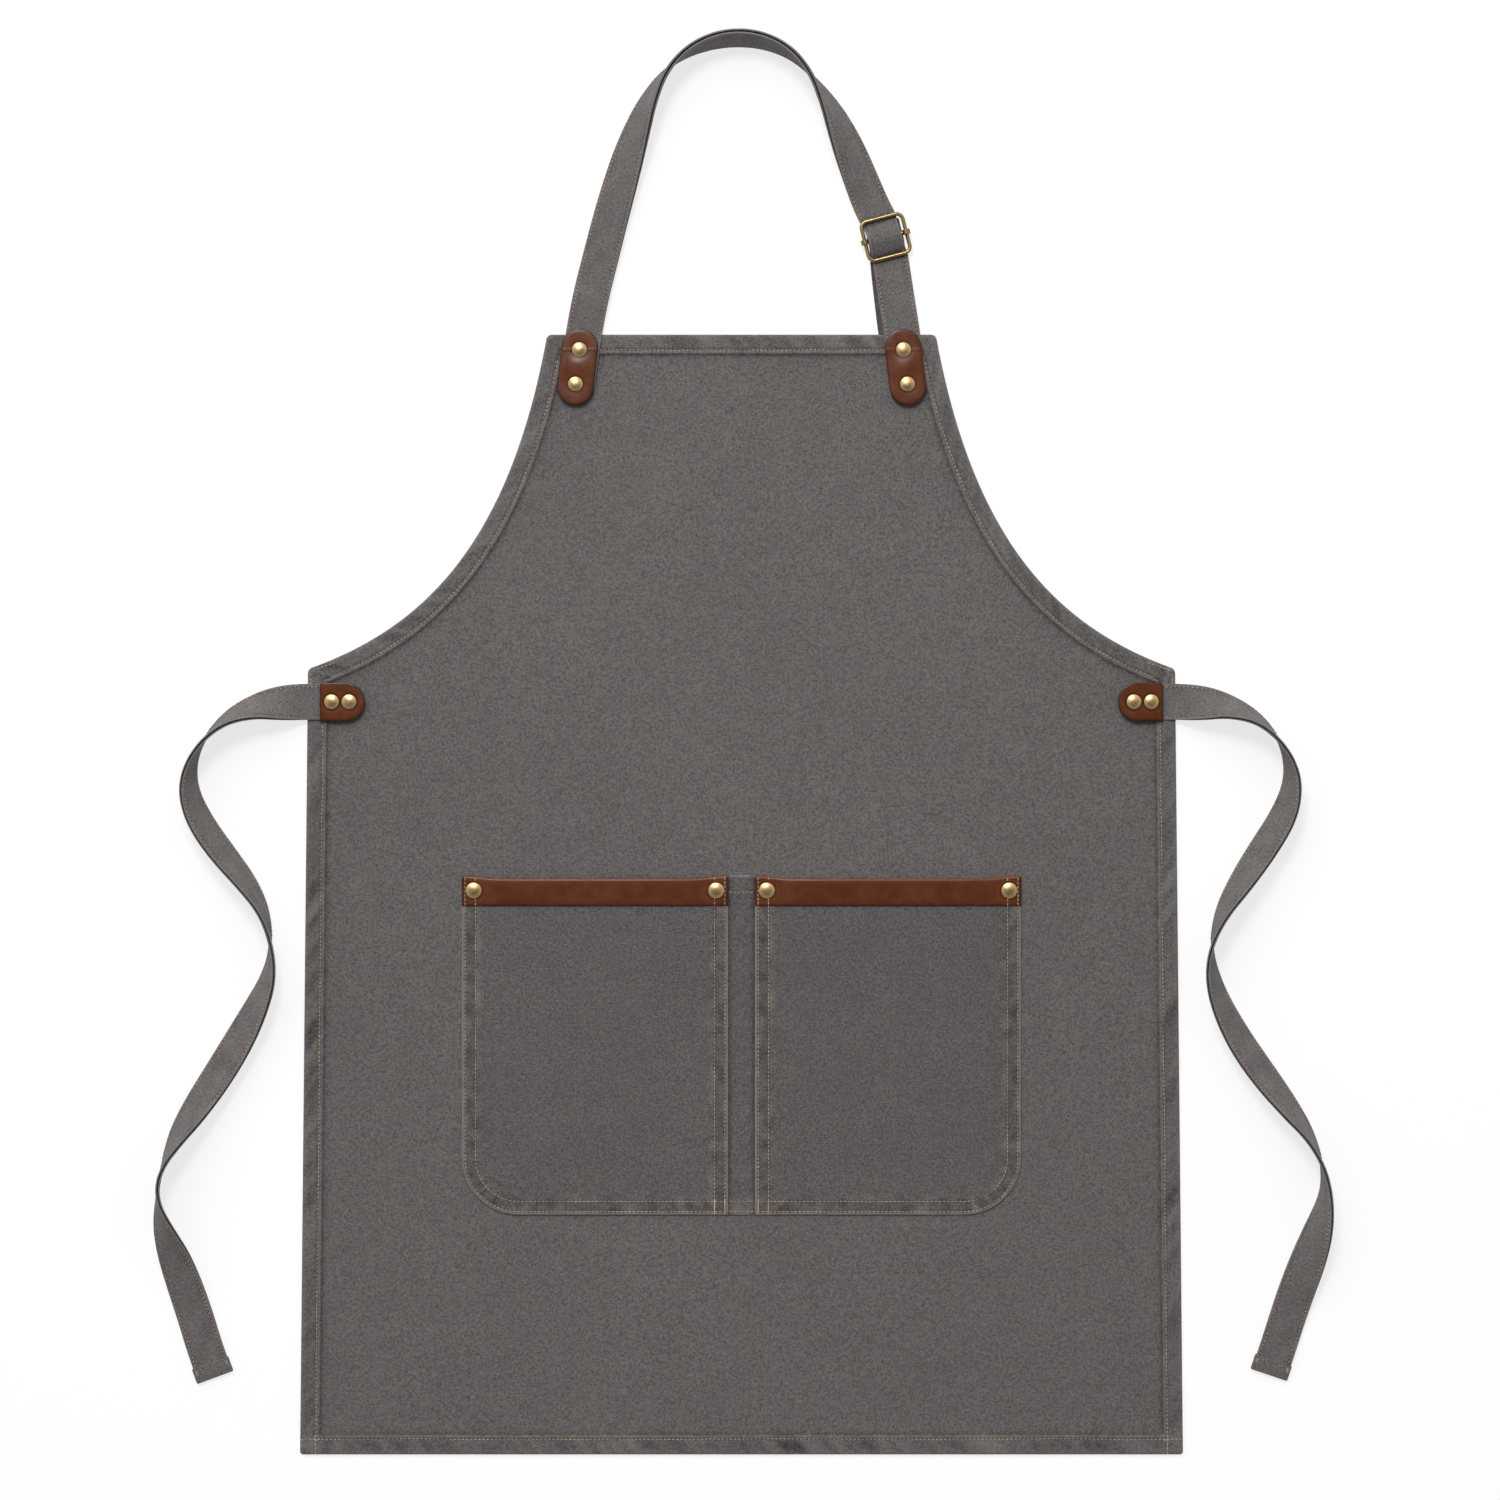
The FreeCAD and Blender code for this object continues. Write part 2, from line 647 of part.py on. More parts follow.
def slider_frame():
    """Closed oblong of round wire with bent corners."""
    z = SLIDER_PLANE
    straight_x = FRAME_HALF_WIDTH - FRAME_CORNER
    straight_y = FRAME_HALF_LENGTH - FRAME_CORNER
    pieces = []
    for sign in (-1, 1):
        cross = Vector(-straight_x, sign * FRAME_HALF_LENGTH, z)
        pieces.append(Part.makeCylinder(WIRE_RADIUS, 2 * straight_x, cross, Vector(1, 0, 0)))
        rail = Vector(sign * FRAME_HALF_WIDTH, -straight_y, z)
        pieces.append(Part.makeCylinder(WIRE_RADIUS, 2 * straight_y, rail, Vector(0, 1, 0)))
    for quarter in range(4):
        angle = math.radians(90 * quarter)
        sign_x = 1 if quarter in (0, 3) else -1
        sign_y = 1 if quarter in (0, 1) else -1
        centre = Vector(sign_x * straight_x, sign_y * straight_y, z)
        start = centre.add(Vector(math.cos(angle), math.sin(angle), 0).multiply(FRAME_CORNER))
        tangent = Vector(-math.sin(angle), math.cos(angle), 0)
        section = Part.Face(Part.Wire(Part.makeCircle(WIRE_RADIUS, start, tangent)))
        pieces.append(section.revolve(centre, Vector(0, 0, 1), 90))
    return slider_place(pieces[0].fuse(pieces[1:]).removeSplitter())


def slider_bar():
    """Loose centre bar with an eye round each side rail."""
    z = SLIDER_PLANE
    bar = Part.makeCylinder(WIRE_RADIUS, 2 * FRAME_HALF_WIDTH, Vector(-FRAME_HALF_WIDTH, 0, z),
                            Vector(1, 0, 0))
    for sign in (-1, 1):
        foot = Vector(sign * FRAME_HALF_WIDTH, -EYE_LENGTH / 2, z)
        bar = bar.fuse(Part.makeCylinder(EYE_RADIUS, EYE_LENGTH, foot, Vector(0, 1, 0)))
    for sign in (-1, 1):
        foot = Vector(sign * FRAME_HALF_WIDTH, -EYE_LENGTH, z)
        bar = bar.cut(Part.makeCylinder(EYE_BORE, 2 * EYE_LENGTH, foot, Vector(0, 1, 0)))
    return slider_place(bar)


STAY_TURN_X = 124.0              # where the stay runs in under the bib's top hem
STAY_REACH = 6.5                 # length of its end inside the hem


def stay_seat():
    """Recess on the underside of the top hem for the stay's end."""
    half = STAY_LOWER_WIDTH / 2 + 0.1
    return slab(STAY_TURN_X - 1.5 - half, STAY_TURN_X - 1.5 + half, BODY_LENGTH - STAY_REACH - 0.1,
                BODY_LENGTH + 5, -1, STRAP_THICKNESS + 0.1)


def slider_stay():
    """Short strap sewn round the loose bar; it runs behind the neck strap and in under the top hem."""
    z = SLIDER_PLANE
    inner = WIRE_RADIUS + 0.1
    outer = inner + STAY_PLY
    half = STAY_WIDTH / 2

    def oblong(radius, width):
        """Slot-shaped tube round the bar, long enough for the bar's play."""
        body = Part.makeBox(width, 2 * BAR_PLAY, 2 * radius, Vector(-width / 2, -BAR_PLAY, z - radius))
        for sign in (-1, 1):
            foot = Vector(-width / 2, sign * BAR_PLAY, z)
            body = body.fuse(Part.makeCylinder(radius, width, foot, Vector(1, 0, 0)))
        return body

    profile = [(-4.4, z - 0.8), (-9.0, 2.6), (-13.0, STRAP_THICKNESS), (-20.0, STRAP_THICKNESS),
               (-20.0, 0.0), (-13.4, 0.0), (-9.4, 1.0), (-4.6, z - 2.4)]
    wire = Part.makePolygon([Vector(-half, y, h) for y, h in profile + profile[:1]])
    web = Part.Face(wire).extrude(Vector(STAY_WIDTH, 0, 0))
    loop = oblong(outer, STAY_WIDTH).fuse(web).cut(oblong(inner, STAY_WIDTH + 2))
    loop = slider_place(loop.removeSplitter())
    lean = math.radians(SLIDER_LEAN)
    top_x = SLIDER_X + 20 * math.sin(lean) - 1.5
    top_height = SLIDER_HEIGHT - 20 * math.cos(lean)
    reach = STAY_LOWER_WIDTH / 2
    foot_x = STAY_TURN_X - 1.5
    foot_height = BODY_LENGTH - STAY_REACH
    corners = [
        (top_x - reach, top_height - 2.5),
        (top_x + reach, top_height + 3.5),
        (foot_x + reach, BODY_LENGTH),
        (foot_x + reach, foot_height),
        (foot_x - reach, foot_height),
        (foot_x - reach, BODY_LENGTH),
    ]
    run = Part.makePolygon([at(x, height) for x, height in corners + corners[:1]])
    return loop.fuse(prism(run, 0, STRAP_THICKNESS)).removeSplitter()


# ---------------------------------------------------------------- assembly

def build():
    """Every sub-part by its node's name."""
    tab_seat = HEM_THICKNESS + STRAP_THICKNESS + TAB_LEATHER
    trim_seat = CLOTH + POCKET_MARGIN_THICKNESS + TRIM_LEATHER
    parts = {
        "body_panel": body_panel(),
        "pen_slot_panel": pen_slot_panel(),
        "pen_slot_thread": pen_slot_thread(),
        "neck_strap": strap("neck_strap", NECK_ROUTE, RIGHT),
        "neck_strap_end": strap("neck_strap_end", NECK_END_ROUTE, LEFT),
        "waist_tie_left": strap("waist_tie_left", LEFT_TIE_ROUTE, LEFT),
        "waist_tie_right": strap("waist_tie_right", RIGHT_TIE_ROUTE, RIGHT),
        "slider_frame": slider_frame(),
        "slider_bar": slider_bar(),
        "slider_stay": slider_stay(),
    }
    neck_ends = {LEFT: "neck_strap", RIGHT: "neck_strap_end"}
    for side, word in ((LEFT, "left"), (RIGHT, "right")):
        neck, waist, trim = neck_rivets(side), waist_rivets(side), trim_rivets(side)
        parts[neck_ends[side]] = drill(parts[neck_ends[side]], neck)
        parts[f"waist_tie_{word}"] = drill(parts[f"waist_tie_{word}"], waist)
        parts[f"neck_tab_{word}"] = leather_tab(neck_tab_wire(side), neck)
        parts[f"waist_tab_{word}"] = leather_tab(waist_tab_wire(side), waist)
        parts[f"pocket_panel_{word}"] = pocket_panel(side)
        parts[f"pocket_trim_{word}"] = pocket_trim(side)
        parts[f"pocket_thread_{word}"] = pocket_thread(side)
        for place_name, rivets, radius, seat in (
            ("neck", neck, TAB_CAP_RADIUS, tab_seat),
            ("waist", waist, TAB_CAP_RADIUS, tab_seat),
            ("pocket", trim, TRIM_CAP_RADIUS, trim_seat),
        ):
            parts[f"{place_name}_rivet_caps_{word}"] = rivet_caps(rivets, radius, seat)
            parts[f"{place_name}_rivet_backs_{word}"] = rivet_backs(rivets)
    covers = [parts[name] for name in ("neck_strap", "neck_strap_end", "waist_tie_left", "waist_tie_right")]
    for outline in (neck_tab_wire, waist_tab_wire):
        covers += [prism(outline(side), 0, tab_seat) for side in (LEFT, RIGHT)]
    parts["hem_thread"] = hem_thread(covers)
    return parts


def main():
    os.makedirs("parts", exist_ok=True)
    for name, shape in build().items():
        if not shape.isValid():
            print(f"{name}: NOT VALID")
        shape.exportStep(f"parts/{name}.step")
        print(f"{name}: {len(shape.Solids)} solid(s), {shape.Volume / 1000:.2f} cm3")


main()
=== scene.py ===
"""Butcher apron laid flat on a table: the looks of every piece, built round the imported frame.

Metres, in the frame's axes: +X across the apron, +Y from the bottom hem towards the neck, +Z up
from the table. A height is measured along Y from the bottom hem.
"""

import logging
import math
from dataclasses import dataclass
from enum import Enum
from typing import Callable

import bmesh
import bpy
from mathutils import Matrix, Vector, noise
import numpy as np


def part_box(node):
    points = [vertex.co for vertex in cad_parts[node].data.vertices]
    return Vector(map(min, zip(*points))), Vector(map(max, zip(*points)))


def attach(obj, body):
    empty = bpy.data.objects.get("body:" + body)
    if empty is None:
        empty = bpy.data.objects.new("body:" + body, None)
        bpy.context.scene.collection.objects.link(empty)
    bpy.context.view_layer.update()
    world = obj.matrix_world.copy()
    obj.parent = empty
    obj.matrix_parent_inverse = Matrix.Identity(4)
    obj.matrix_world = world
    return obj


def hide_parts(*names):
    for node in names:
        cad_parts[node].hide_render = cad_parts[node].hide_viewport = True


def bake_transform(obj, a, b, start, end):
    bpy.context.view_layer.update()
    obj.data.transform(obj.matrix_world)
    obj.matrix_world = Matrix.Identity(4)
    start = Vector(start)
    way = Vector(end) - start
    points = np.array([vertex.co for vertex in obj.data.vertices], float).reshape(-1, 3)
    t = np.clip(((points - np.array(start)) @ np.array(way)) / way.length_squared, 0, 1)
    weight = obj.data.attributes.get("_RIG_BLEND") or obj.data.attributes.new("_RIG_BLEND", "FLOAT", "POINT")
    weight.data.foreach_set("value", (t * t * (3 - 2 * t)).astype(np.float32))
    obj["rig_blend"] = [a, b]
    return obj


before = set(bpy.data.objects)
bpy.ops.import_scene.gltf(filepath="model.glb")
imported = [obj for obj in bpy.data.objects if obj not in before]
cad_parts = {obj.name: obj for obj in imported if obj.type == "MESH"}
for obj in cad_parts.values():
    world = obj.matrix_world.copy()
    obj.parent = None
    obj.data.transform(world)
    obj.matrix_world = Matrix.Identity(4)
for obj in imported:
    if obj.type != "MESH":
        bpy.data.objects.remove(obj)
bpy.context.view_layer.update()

MM = 0.001
LOG = logging.getLogger("apron")

# ---- measures shared by several pieces ----
BODY_LOW, BODY_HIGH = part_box("body_panel")
HEM_STITCH_INSET = 12.0 * MM
STRAP_HALF_WIDTH = 14.0 * MM
STRAP_HALF_THICKNESS = 0.8 * MM
STITCH_PITCH = 3.2 * MM
POCKET_STITCH_INSETS = (2.5 * MM, 10.5 * MM)
TRIM_HEIGHT = 22.0 * MM
TRIM_LEATHER = 1.2 * MM
TAB_SEAT = 4.0 * MM
TAB_TOP = 6.0 * MM
TAB_CAP_RADIUS = 5.75 * MM
TRIM_CAP_RADIUS = 6.2 * MM
TRIM_CAP_SEAT = 3.7 * MM
SLIDER_CENTRE = sum(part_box("slider_frame"), Vector()) / 2
SLIDER_LEAN = math.radians(14.5)
UP = Vector((0, 0, 1))


class Hand(Enum):
    """Which half of the apron a piece belongs to; the value is the sign of X there."""

    LEFT = -1
    RIGHT = 1

    @property
    def word(self) -> str:
        """The word that node names end in."""
        return self.name.lower()


class Layout(Enum):
    """What a cloth pattern is laid out on."""

    LAID_FLAT = "object"
    ALONG_STRAP = "uv"


def at(x: float, height: float, z: float = 0.0) -> Vector:
    """A point given by its height above the bottom hem."""
    return Vector((x, BODY_LOW.y + height, z))


def held(share: float) -> float:
    """A value held between 0 and 1."""
    return min(1.0, max(0.0, share))


def smooth(share: float) -> float:
    """Smooth step of a value, held between 0 and 1."""
    share = held(share)
    return share * share * (3 - 2 * share)


def graded(value: float, marks: list[tuple[float, float]]) -> float:
    """Straight-line interpolation in a list of (place, level) marks, level beyond its ends.

    Args:
        value: the place to read.
        marks: rising places with their levels.

    Returns:
        The level there.
    """
    for (low, before), (high, after) in zip(marks, marks[1:]):
        if value <= high:
            share = max(0.0, (value - low) / (high - low))
            return before + (after - before) * share
    return marks[-1][1]


def rim_drop(inset: float, reach: float) -> float:
    """Share by which a rounded rim has fallen at an inset: 1 at the edge, 0 from reach on."""
    short = held(1 - inset / reach)
    return 1 - math.sqrt(1 - short * short)


def ripple(x: float, y: float, seed: float) -> float:
    """Smooth random value from -1 to 1 at a place on a unit grid."""
    return noise.noise(Vector((x, y, seed))) * 1.6


# ---------------------------------------------------------------- shader graph

class Graph:
    """Short words for adding and joining nodes in one shader tree."""

    def __init__(self, tree: bpy.types.NodeTree) -> None:
        """Hold the tree that the nodes go in."""
        self.tree = tree

    def node(self, kind: str, settings: dict | None = None, **inputs) -> bpy.types.Node:
        """Add a node, set its properties, and feed its inputs.

        Args:
            kind: the node's Blender type.
            settings: properties to set on the node itself.
            inputs: values or sockets by input name, with _ for a space and iN for input N.

        Returns:
            The node.
        """
        made = self.tree.nodes.new(kind)
        for name, value in (settings or {}).items():
            setattr(made, name, value)
        for name, value in inputs.items():
            key = int(name[1:]) if name[0] == "i" and name[1:].isdigit() else name.replace("_", " ")
            if isinstance(value, bpy.types.NodeSocket):
                self.tree.links.new(value, made.inputs[key])
            else:
                made.inputs[key].default_value = value
        return made

    def math(self, operation: str, a, b=0.0, c=0.0) -> bpy.types.NodeSocket:
        """Result of one Math node."""
        return self.node("ShaderNodeMath", {"operation": operation}, i0=a, i1=b, i2=c).outputs[0]

    def mix(self, share, a, b) -> bpy.types.NodeSocket:
        """Colour mixed from a to b."""
        made = self.node("ShaderNodeMix", {"data_type": "RGBA"}, i0=share, i6=a, i7=b)
        return made.outputs[2]

    def spread(self, value, low: float, high: float, to_low=0.0, to_high=1.0) -> bpy.types.NodeSocket:
        """Value carried from one span to another, held inside it."""
        made = self.node("ShaderNodeMapRange", i0=value, i1=low, i2=high, i3=to_low, i4=to_high)
        return made.outputs[0]

    def noise(self, vector, scale: float, detail=3.0, roughness=0.6) -> bpy.types.NodeSocket:
        """Grey noise."""
        made = self.node("ShaderNodeTexNoise", Vector=vector, Scale=scale, Detail=detail,
                         Roughness=roughness)
        return made.outputs[0]

    def stretched(self, vector, x: float, y: float, z: float) -> bpy.types.NodeSocket:
        """Vector scaled by a Mapping node."""
        made = self.node("ShaderNodeMapping", Vector=vector)
        made.inputs["Scale"].default_value = (x, y, z)
        return made.outputs[0]


def new_group(name: str, outputs: list[str], inputs: list[tuple[str, str]]) -> tuple:
    """Start a shader node group.

    Args:
        name: the group's name.
        outputs: names of its float outputs.
        inputs: (name, socket type) of its inputs.

    Returns:
        The group, its graph, its input node and its output node.
    """
    group = bpy.data.node_groups.new(name, "ShaderNodeTree")
    for title, kind in inputs:
        group.interface.new_socket(name=title, in_out="INPUT", socket_type=kind)
    for title in outputs:
        group.interface.new_socket(name=title, in_out="OUTPUT", socket_type="NodeSocketFloat")
    graph = Graph(group)
    return group, graph, graph.node("NodeGroupInput"), graph.node("NodeGroupOutput")


def weave_group() -> bpy.types.NodeTree:
    """Twill weave: the height of its threads."""
    group, g, source, sink = new_group(
        "twill_weave", ["Height"],
        [("Vector", "NodeSocketVector"), ("Threads per Metre", "NodeSocketFloat")])
    wander = g.noise(source.outputs["Vector"], 160.0, 2.0)
    parts = g.node("ShaderNodeSeparateXYZ", Vector=source.outputs["Vector"])
    turns = g.math("MULTIPLY", source.outputs["Threads per Metre"], math.pi)
    drift = g.math("MULTIPLY", wander, 1.6)
    across = g.math("ADD", g.math("MULTIPLY", parts.outputs[0], turns), drift)
    along = g.math("ADD", g.math("MULTIPLY", parts.outputs[1], turns), drift)
    warp = g.math("ABSOLUTE", g.math("SINE", across))
    weft = g.math("ABSOLUTE", g.math("SINE", along))
    diagonal = g.math("SINE", g.math("ADD", across, along))
    lift = g.spread(diagonal, -0.4, 0.4)
    height = g.math("ADD", g.math("MULTIPLY", warp, lift),
                    g.math("MULTIPLY", weft, g.math("SUBTRACT", 1.0, lift)))
    g.tree.links.new(height, sink.inputs["Height"])
    return group


def heather_group() -> bpy.types.NodeTree:
    """Washed yarn: short slubs along both threads, curled pale fibres, specks and faded patches."""
    group, g, source, sink = new_group(
        "washed_heather", ["Slubs", "Fibres", "Specks", "Patches"], [("Vector", "NodeSocketVector")])
    vector = source.outputs["Vector"]
    warp = g.noise(g.stretched(vector, 980.0, 420.0, 300.0), 1.0, 2.0, 0.6)
    weft = g.noise(g.stretched(vector, 400.0, 900.0, 300.0), 1.0, 2.0, 0.6)
    slubs = g.spread(g.math("ADD", warp, weft), 0.80, 1.20)
    bend = g.noise(vector, 380.0, 1.0, 0.5)
    curl = g.math("ABSOLUTE", g.math("SUBTRACT", bend, 0.5))
    second = g.noise(g.stretched(vector, 1.0, 1.15, 2.0), 560.0, 1.0)
    other = g.math("ABSOLUTE", g.math("SUBTRACT", second, 0.5))
    fibres = g.spread(g.math("MINIMUM", curl, other), 0.045, 0.005)
    specks = g.spread(g.noise(vector, 620.0, 3.0, 0.75), 0.38, 0.64)
    broad = g.noise(vector, 7.0, 3.0, 0.55)
    close = g.noise(vector, 42.0, 3.0, 0.6)
    patches = g.spread(g.math("ADD", broad, close), 0.72, 1.28)
    for title, value in (("Slubs", slubs), ("Fibres", fibres), ("Specks", specks), ("Patches", patches)):
        g.tree.links.new(value, sink.inputs[title])
    return group


def scuff_group() -> bpy.types.NodeTree:
    """Handling marks: fine crossing scratches and soft smudges."""
    group, g, source, sink = new_group(
        "handling_scuffs", ["Scratches", "Smudges"], [("Vector", "NodeSocketVector")])
    vector = source.outputs["Vector"]
    one = g.noise(g.stretched(vector, 300.0, 3600.0, 900.0), 1.0, 2.0)
    two = g.noise(g.stretched(vector, 3300.0, 420.0, 900.0), 1.0, 2.0)
    scratches = g.spread(g.math("MAXIMUM", one, two), 0.60, 0.78)
    smudges = g.spread(g.noise(vector, 210.0, 4.0, 0.65), 0.35, 0.68)
    g.tree.links.new(scratches, sink.inputs["Scratches"])
    g.tree.links.new(smudges, sink.inputs["Smudges"])
    return group


class Groups:
    """The node groups that several finishes share, each built once."""

    made: dict[str, bpy.types.NodeTree] = {}
    makers: dict[str, Callable[[], bpy.types.NodeTree]] = {
        "weave": weave_group, "heather": heather_group, "scuffs": scuff_group}

    @classmethod
    def place(cls, g: Graph, name: str, vector, **values) -> bpy.types.Node:
        """Put a shared group in a material.

        Args:
            g: the material's graph.
            name: the group's short name.
            vector: the coordinates that it reads.
            values: its other inputs.

        Returns:
            The group node.
        """
        if name not in cls.made:
            cls.made[name] = cls.makers[name]()
        return g.node("ShaderNodeGroup", {"node_tree": cls.made[name]}, Vector=vector, **values)


def new_material(name: str) -> tuple[bpy.types.Material, Graph, bpy.types.Node]:
    """Start a material: it, its graph, and its Principled shader."""
    material = bpy.data.materials.new(name)
    material.use_nodes = True
    graph = Graph(material.node_tree)
    return material, graph, material.node_tree.nodes["Principled BSDF"]


def tinted(shade: tuple, factor: float) -> tuple:
    """A colour made lighter or darker, with full alpha."""
    return (*(min(1.0, channel * factor) for channel in shade), 1.0)


@dataclass(frozen=True)
class CanvasFinish:
    """Washed grey-brown canvas with visible yarn, faded on its ridges, with painted highlights on its folds
    and painted shade in its creases, seams and gaps.
    """

    name: str
    shade: tuple[float, float, float]
    layout: Layout = Layout.LAID_FLAT
    threads_per_metre: float = 1250.0
    # pale tone of faded fibres and ridges, also used for painted highlights on folds
    fade: tuple[float, float, float] = (0.262, 0.245, 0.234)

    def material(self) -> bpy.types.Material:
        """Build the material."""
        material, g, shader = new_material(self.name)
        if self.layout is Layout.ALONG_STRAP:
            vector = g.node("ShaderNodeUVMap", {"uv_map": "lay"}).outputs[0]
        else:
            vector = g.node("ShaderNodeTexCoord").outputs["Object"]
        weave = Groups.place(g, "weave", vector, Threads_per_Metre=self.threads_per_metre)
        yarn = Groups.place(g, "heather", vector)
        wear_and_shading = g.node("ShaderNodeAttribute", {"attribute_name": "wear_and_shading"}).outputs["Fac"]
        colour = g.mix(yarn.outputs["Slubs"], tinted(self.shade, 0.62), tinted(self.shade, 1.40))
        brown = (self.shade[0] * 1.24, self.shade[1] * 1.14, self.shade[2] * 1.06, 1.0)
        colour = g.mix(g.math("MULTIPLY", yarn.outputs["Specks"], 0.40), colour, brown)
        colour = g.mix(g.math("MULTIPLY", yarn.outputs["Fibres"], 0.46), colour, (*self.fade, 1.0))
        # painted shade: the cloth is darker where the weave's threads dip
        dark = g.math("MULTIPLY", g.math("SUBTRACT", 1.0, weave.outputs["Height"]), 0.40)
        colour = g.mix(dark, colour, tinted(self.shade, 0.45))
        patchy = g.math("MULTIPLY", yarn.outputs["Patches"], 0.26)
        colour = g.mix(patchy, colour, tinted(self.shade, 0.62))
        # per-point value: above 0.5 pales the cloth for fading and painted highlights, below 0.5 darkens it
        # as painted shade
        wear_and_shading_level = g.math("ADD", wear_and_shading, g.spread(yarn.outputs["Slubs"], 0.0, 1.0, -0.07, 0.07))
        pale = g.math("MULTIPLY", g.spread(wear_and_shading_level, 0.5, 1.0), 0.80)
        colour = g.mix(pale, colour, (*self.fade, 1.0))
        # painted shade in creases, seam grooves, slits and strips in shadow
        deep = g.math("MULTIPLY", g.spread(wear_and_shading_level, 0.5, 0.0), 0.86)
        colour = g.mix(deep, colour, tinted(self.shade, 0.12))
        fuzz = g.noise(vector, 1500.0, 2.0, 0.7)
        height = g.math("ADD", g.math("MULTIPLY", weave.outputs["Height"], 0.7),
                        g.math("MULTIPLY", g.math("ADD", yarn.outputs["Slubs"], fuzz), 0.5))
        height = g.math("ADD", height, g.math("MULTIPLY", yarn.outputs["Fibres"], 0.35))
        bump = g.node("ShaderNodeBump", Strength=0.8, Distance=0.22 * MM, Height=height)
        g.tree.links.new(colour, shader.inputs["Base Color"])
        g.tree.links.new(g.spread(fuzz, 0.2, 0.8, 0.82, 0.97), shader.inputs["Roughness"])
        g.tree.links.new(bump.outputs[0], shader.inputs["Normal"])
        shader.inputs["Specular IOR Level"].default_value = 0.22
        shader.inputs["Sheen Weight"].default_value = 0.06
        shader.inputs["Sheen Roughness"].default_value = 0.6
        return material


@dataclass(frozen=True)
class LeatherFinish:
    """Oiled brown leather, half gloss, with fine grain and burnished dark edges, painted highlights on
    rolled edges and ridges, and painted shade round the rivets.
    """

    name: str
    shade: tuple[float, float, float]
    gloss: float

    def material(self) -> bpy.types.Material:
        """Build the material."""
        material, g, shader = new_material(self.name)
        vector = g.node("ShaderNodeTexCoord").outputs["Object"]
        wear_and_shading = g.node("ShaderNodeAttribute", {"attribute_name": "wear_and_shading"}).outputs["Fac"]
        scuffs = Groups.place(g, "scuffs", vector)
        cloudy = g.spread(g.noise(vector, 90.0, 4.0, 0.6), 0.34, 0.68)
        colour = g.mix(cloudy, tinted(self.shade, 0.86), tinted(self.shade, 1.12))
        pores = g.node("ShaderNodeTexVoronoi", Vector=vector, Scale=1500.0).outputs["Distance"]
        colour = g.mix(g.spread(pores, 0.35, 0.0, 0.0, 0.35), colour, tinted(self.shade, 0.45))
        smudged = g.math("MULTIPLY", scuffs.outputs["Smudges"], 0.16)
        colour = g.mix(smudged, colour, tinted(self.shade, 0.5))
        # pale tone for rubbed lines and for painted highlights on rolled edges and ridges
        pale = (self.shade[0] * 2.1, self.shade[1] * 2.5, self.shade[2] * 3.0, 1.0)
        colour = g.mix(g.math("MULTIPLY", g.spread(wear_and_shading, 0.5, 1.0), 0.8), colour, pale)
        # darker for burnished edges, and as painted shade round the rivets and painted shadow along the
        # lower edges
        colour = g.mix(g.math("MULTIPLY", g.spread(wear_and_shading, 0.5, 0.0), 0.86), colour,
                       tinted(self.shade, 0.16))
        grain = g.noise(vector, 1300.0, 4.0, 0.7)
        height = g.math("ADD", g.math("MULTIPLY", pores, 0.5), g.math("MULTIPLY", grain, 0.6))
        bump = g.node("ShaderNodeBump", Strength=0.22, Distance=0.10 * MM, Height=height)
        rough = g.math("ADD", g.spread(cloudy, 0.0, 1.0, self.gloss, self.gloss + 0.14),
                       g.math("MULTIPLY", scuffs.outputs["Scratches"], 0.10))
        g.tree.links.new(colour, shader.inputs["Base Color"])
        g.tree.links.new(rough, shader.inputs["Roughness"])
        g.tree.links.new(bump.outputs[0], shader.inputs["Normal"])
        shader.inputs["Specular IOR Level"].default_value = 0.30
        shader.inputs["Coat Weight"].default_value = 0.20
        shader.inputs["Coat Roughness"].default_value = 0.26
        return material


@dataclass(frozen=True)
class BrassFinish:
    """Antique brass: bright where it is handled, darker and browner in the hollows."""

    name: str
    bright: tuple[float, float, float]
    tarnish: tuple[float, float, float]
    polish: float
    tarnished: float

    def material(self) -> bpy.types.Material:
        """Build the material."""
        material, g, shader = new_material(self.name)
        vector = g.node("ShaderNodeTexCoord").outputs["Object"]
        scuffs = Groups.place(g, "scuffs", vector)
        stain = g.spread(g.noise(vector, 780.0, 4.0, 0.65), 0.34, 0.70)
        share = g.math("MULTIPLY", stain, self.tarnished)
        colour = g.mix(share, (*self.bright, 1.0), (*self.tarnish, 1.0))
        rubbed = g.math("MULTIPLY", scuffs.outputs["Scratches"], 0.35)
        colour = g.mix(rubbed, colour, tinted(self.bright, 1.25))
        rough = g.math("ADD", g.math("MULTIPLY", stain, 0.16),
                       g.math("MULTIPLY", scuffs.outputs["Smudges"], 0.08))
        g.tree.links.new(colour, shader.inputs["Base Color"])
        g.tree.links.new(g.math("ADD", rough, self.polish), shader.inputs["Roughness"])
        height = g.math("ADD", scuffs.outputs["Scratches"], stain)
        bump = g.node("ShaderNodeBump", Strength=0.12, Distance=0.03 * MM, Height=height)
        g.tree.links.new(bump.outputs[0], shader.inputs["Normal"])
        shader.inputs["Metallic"].default_value = 1.0
        return material


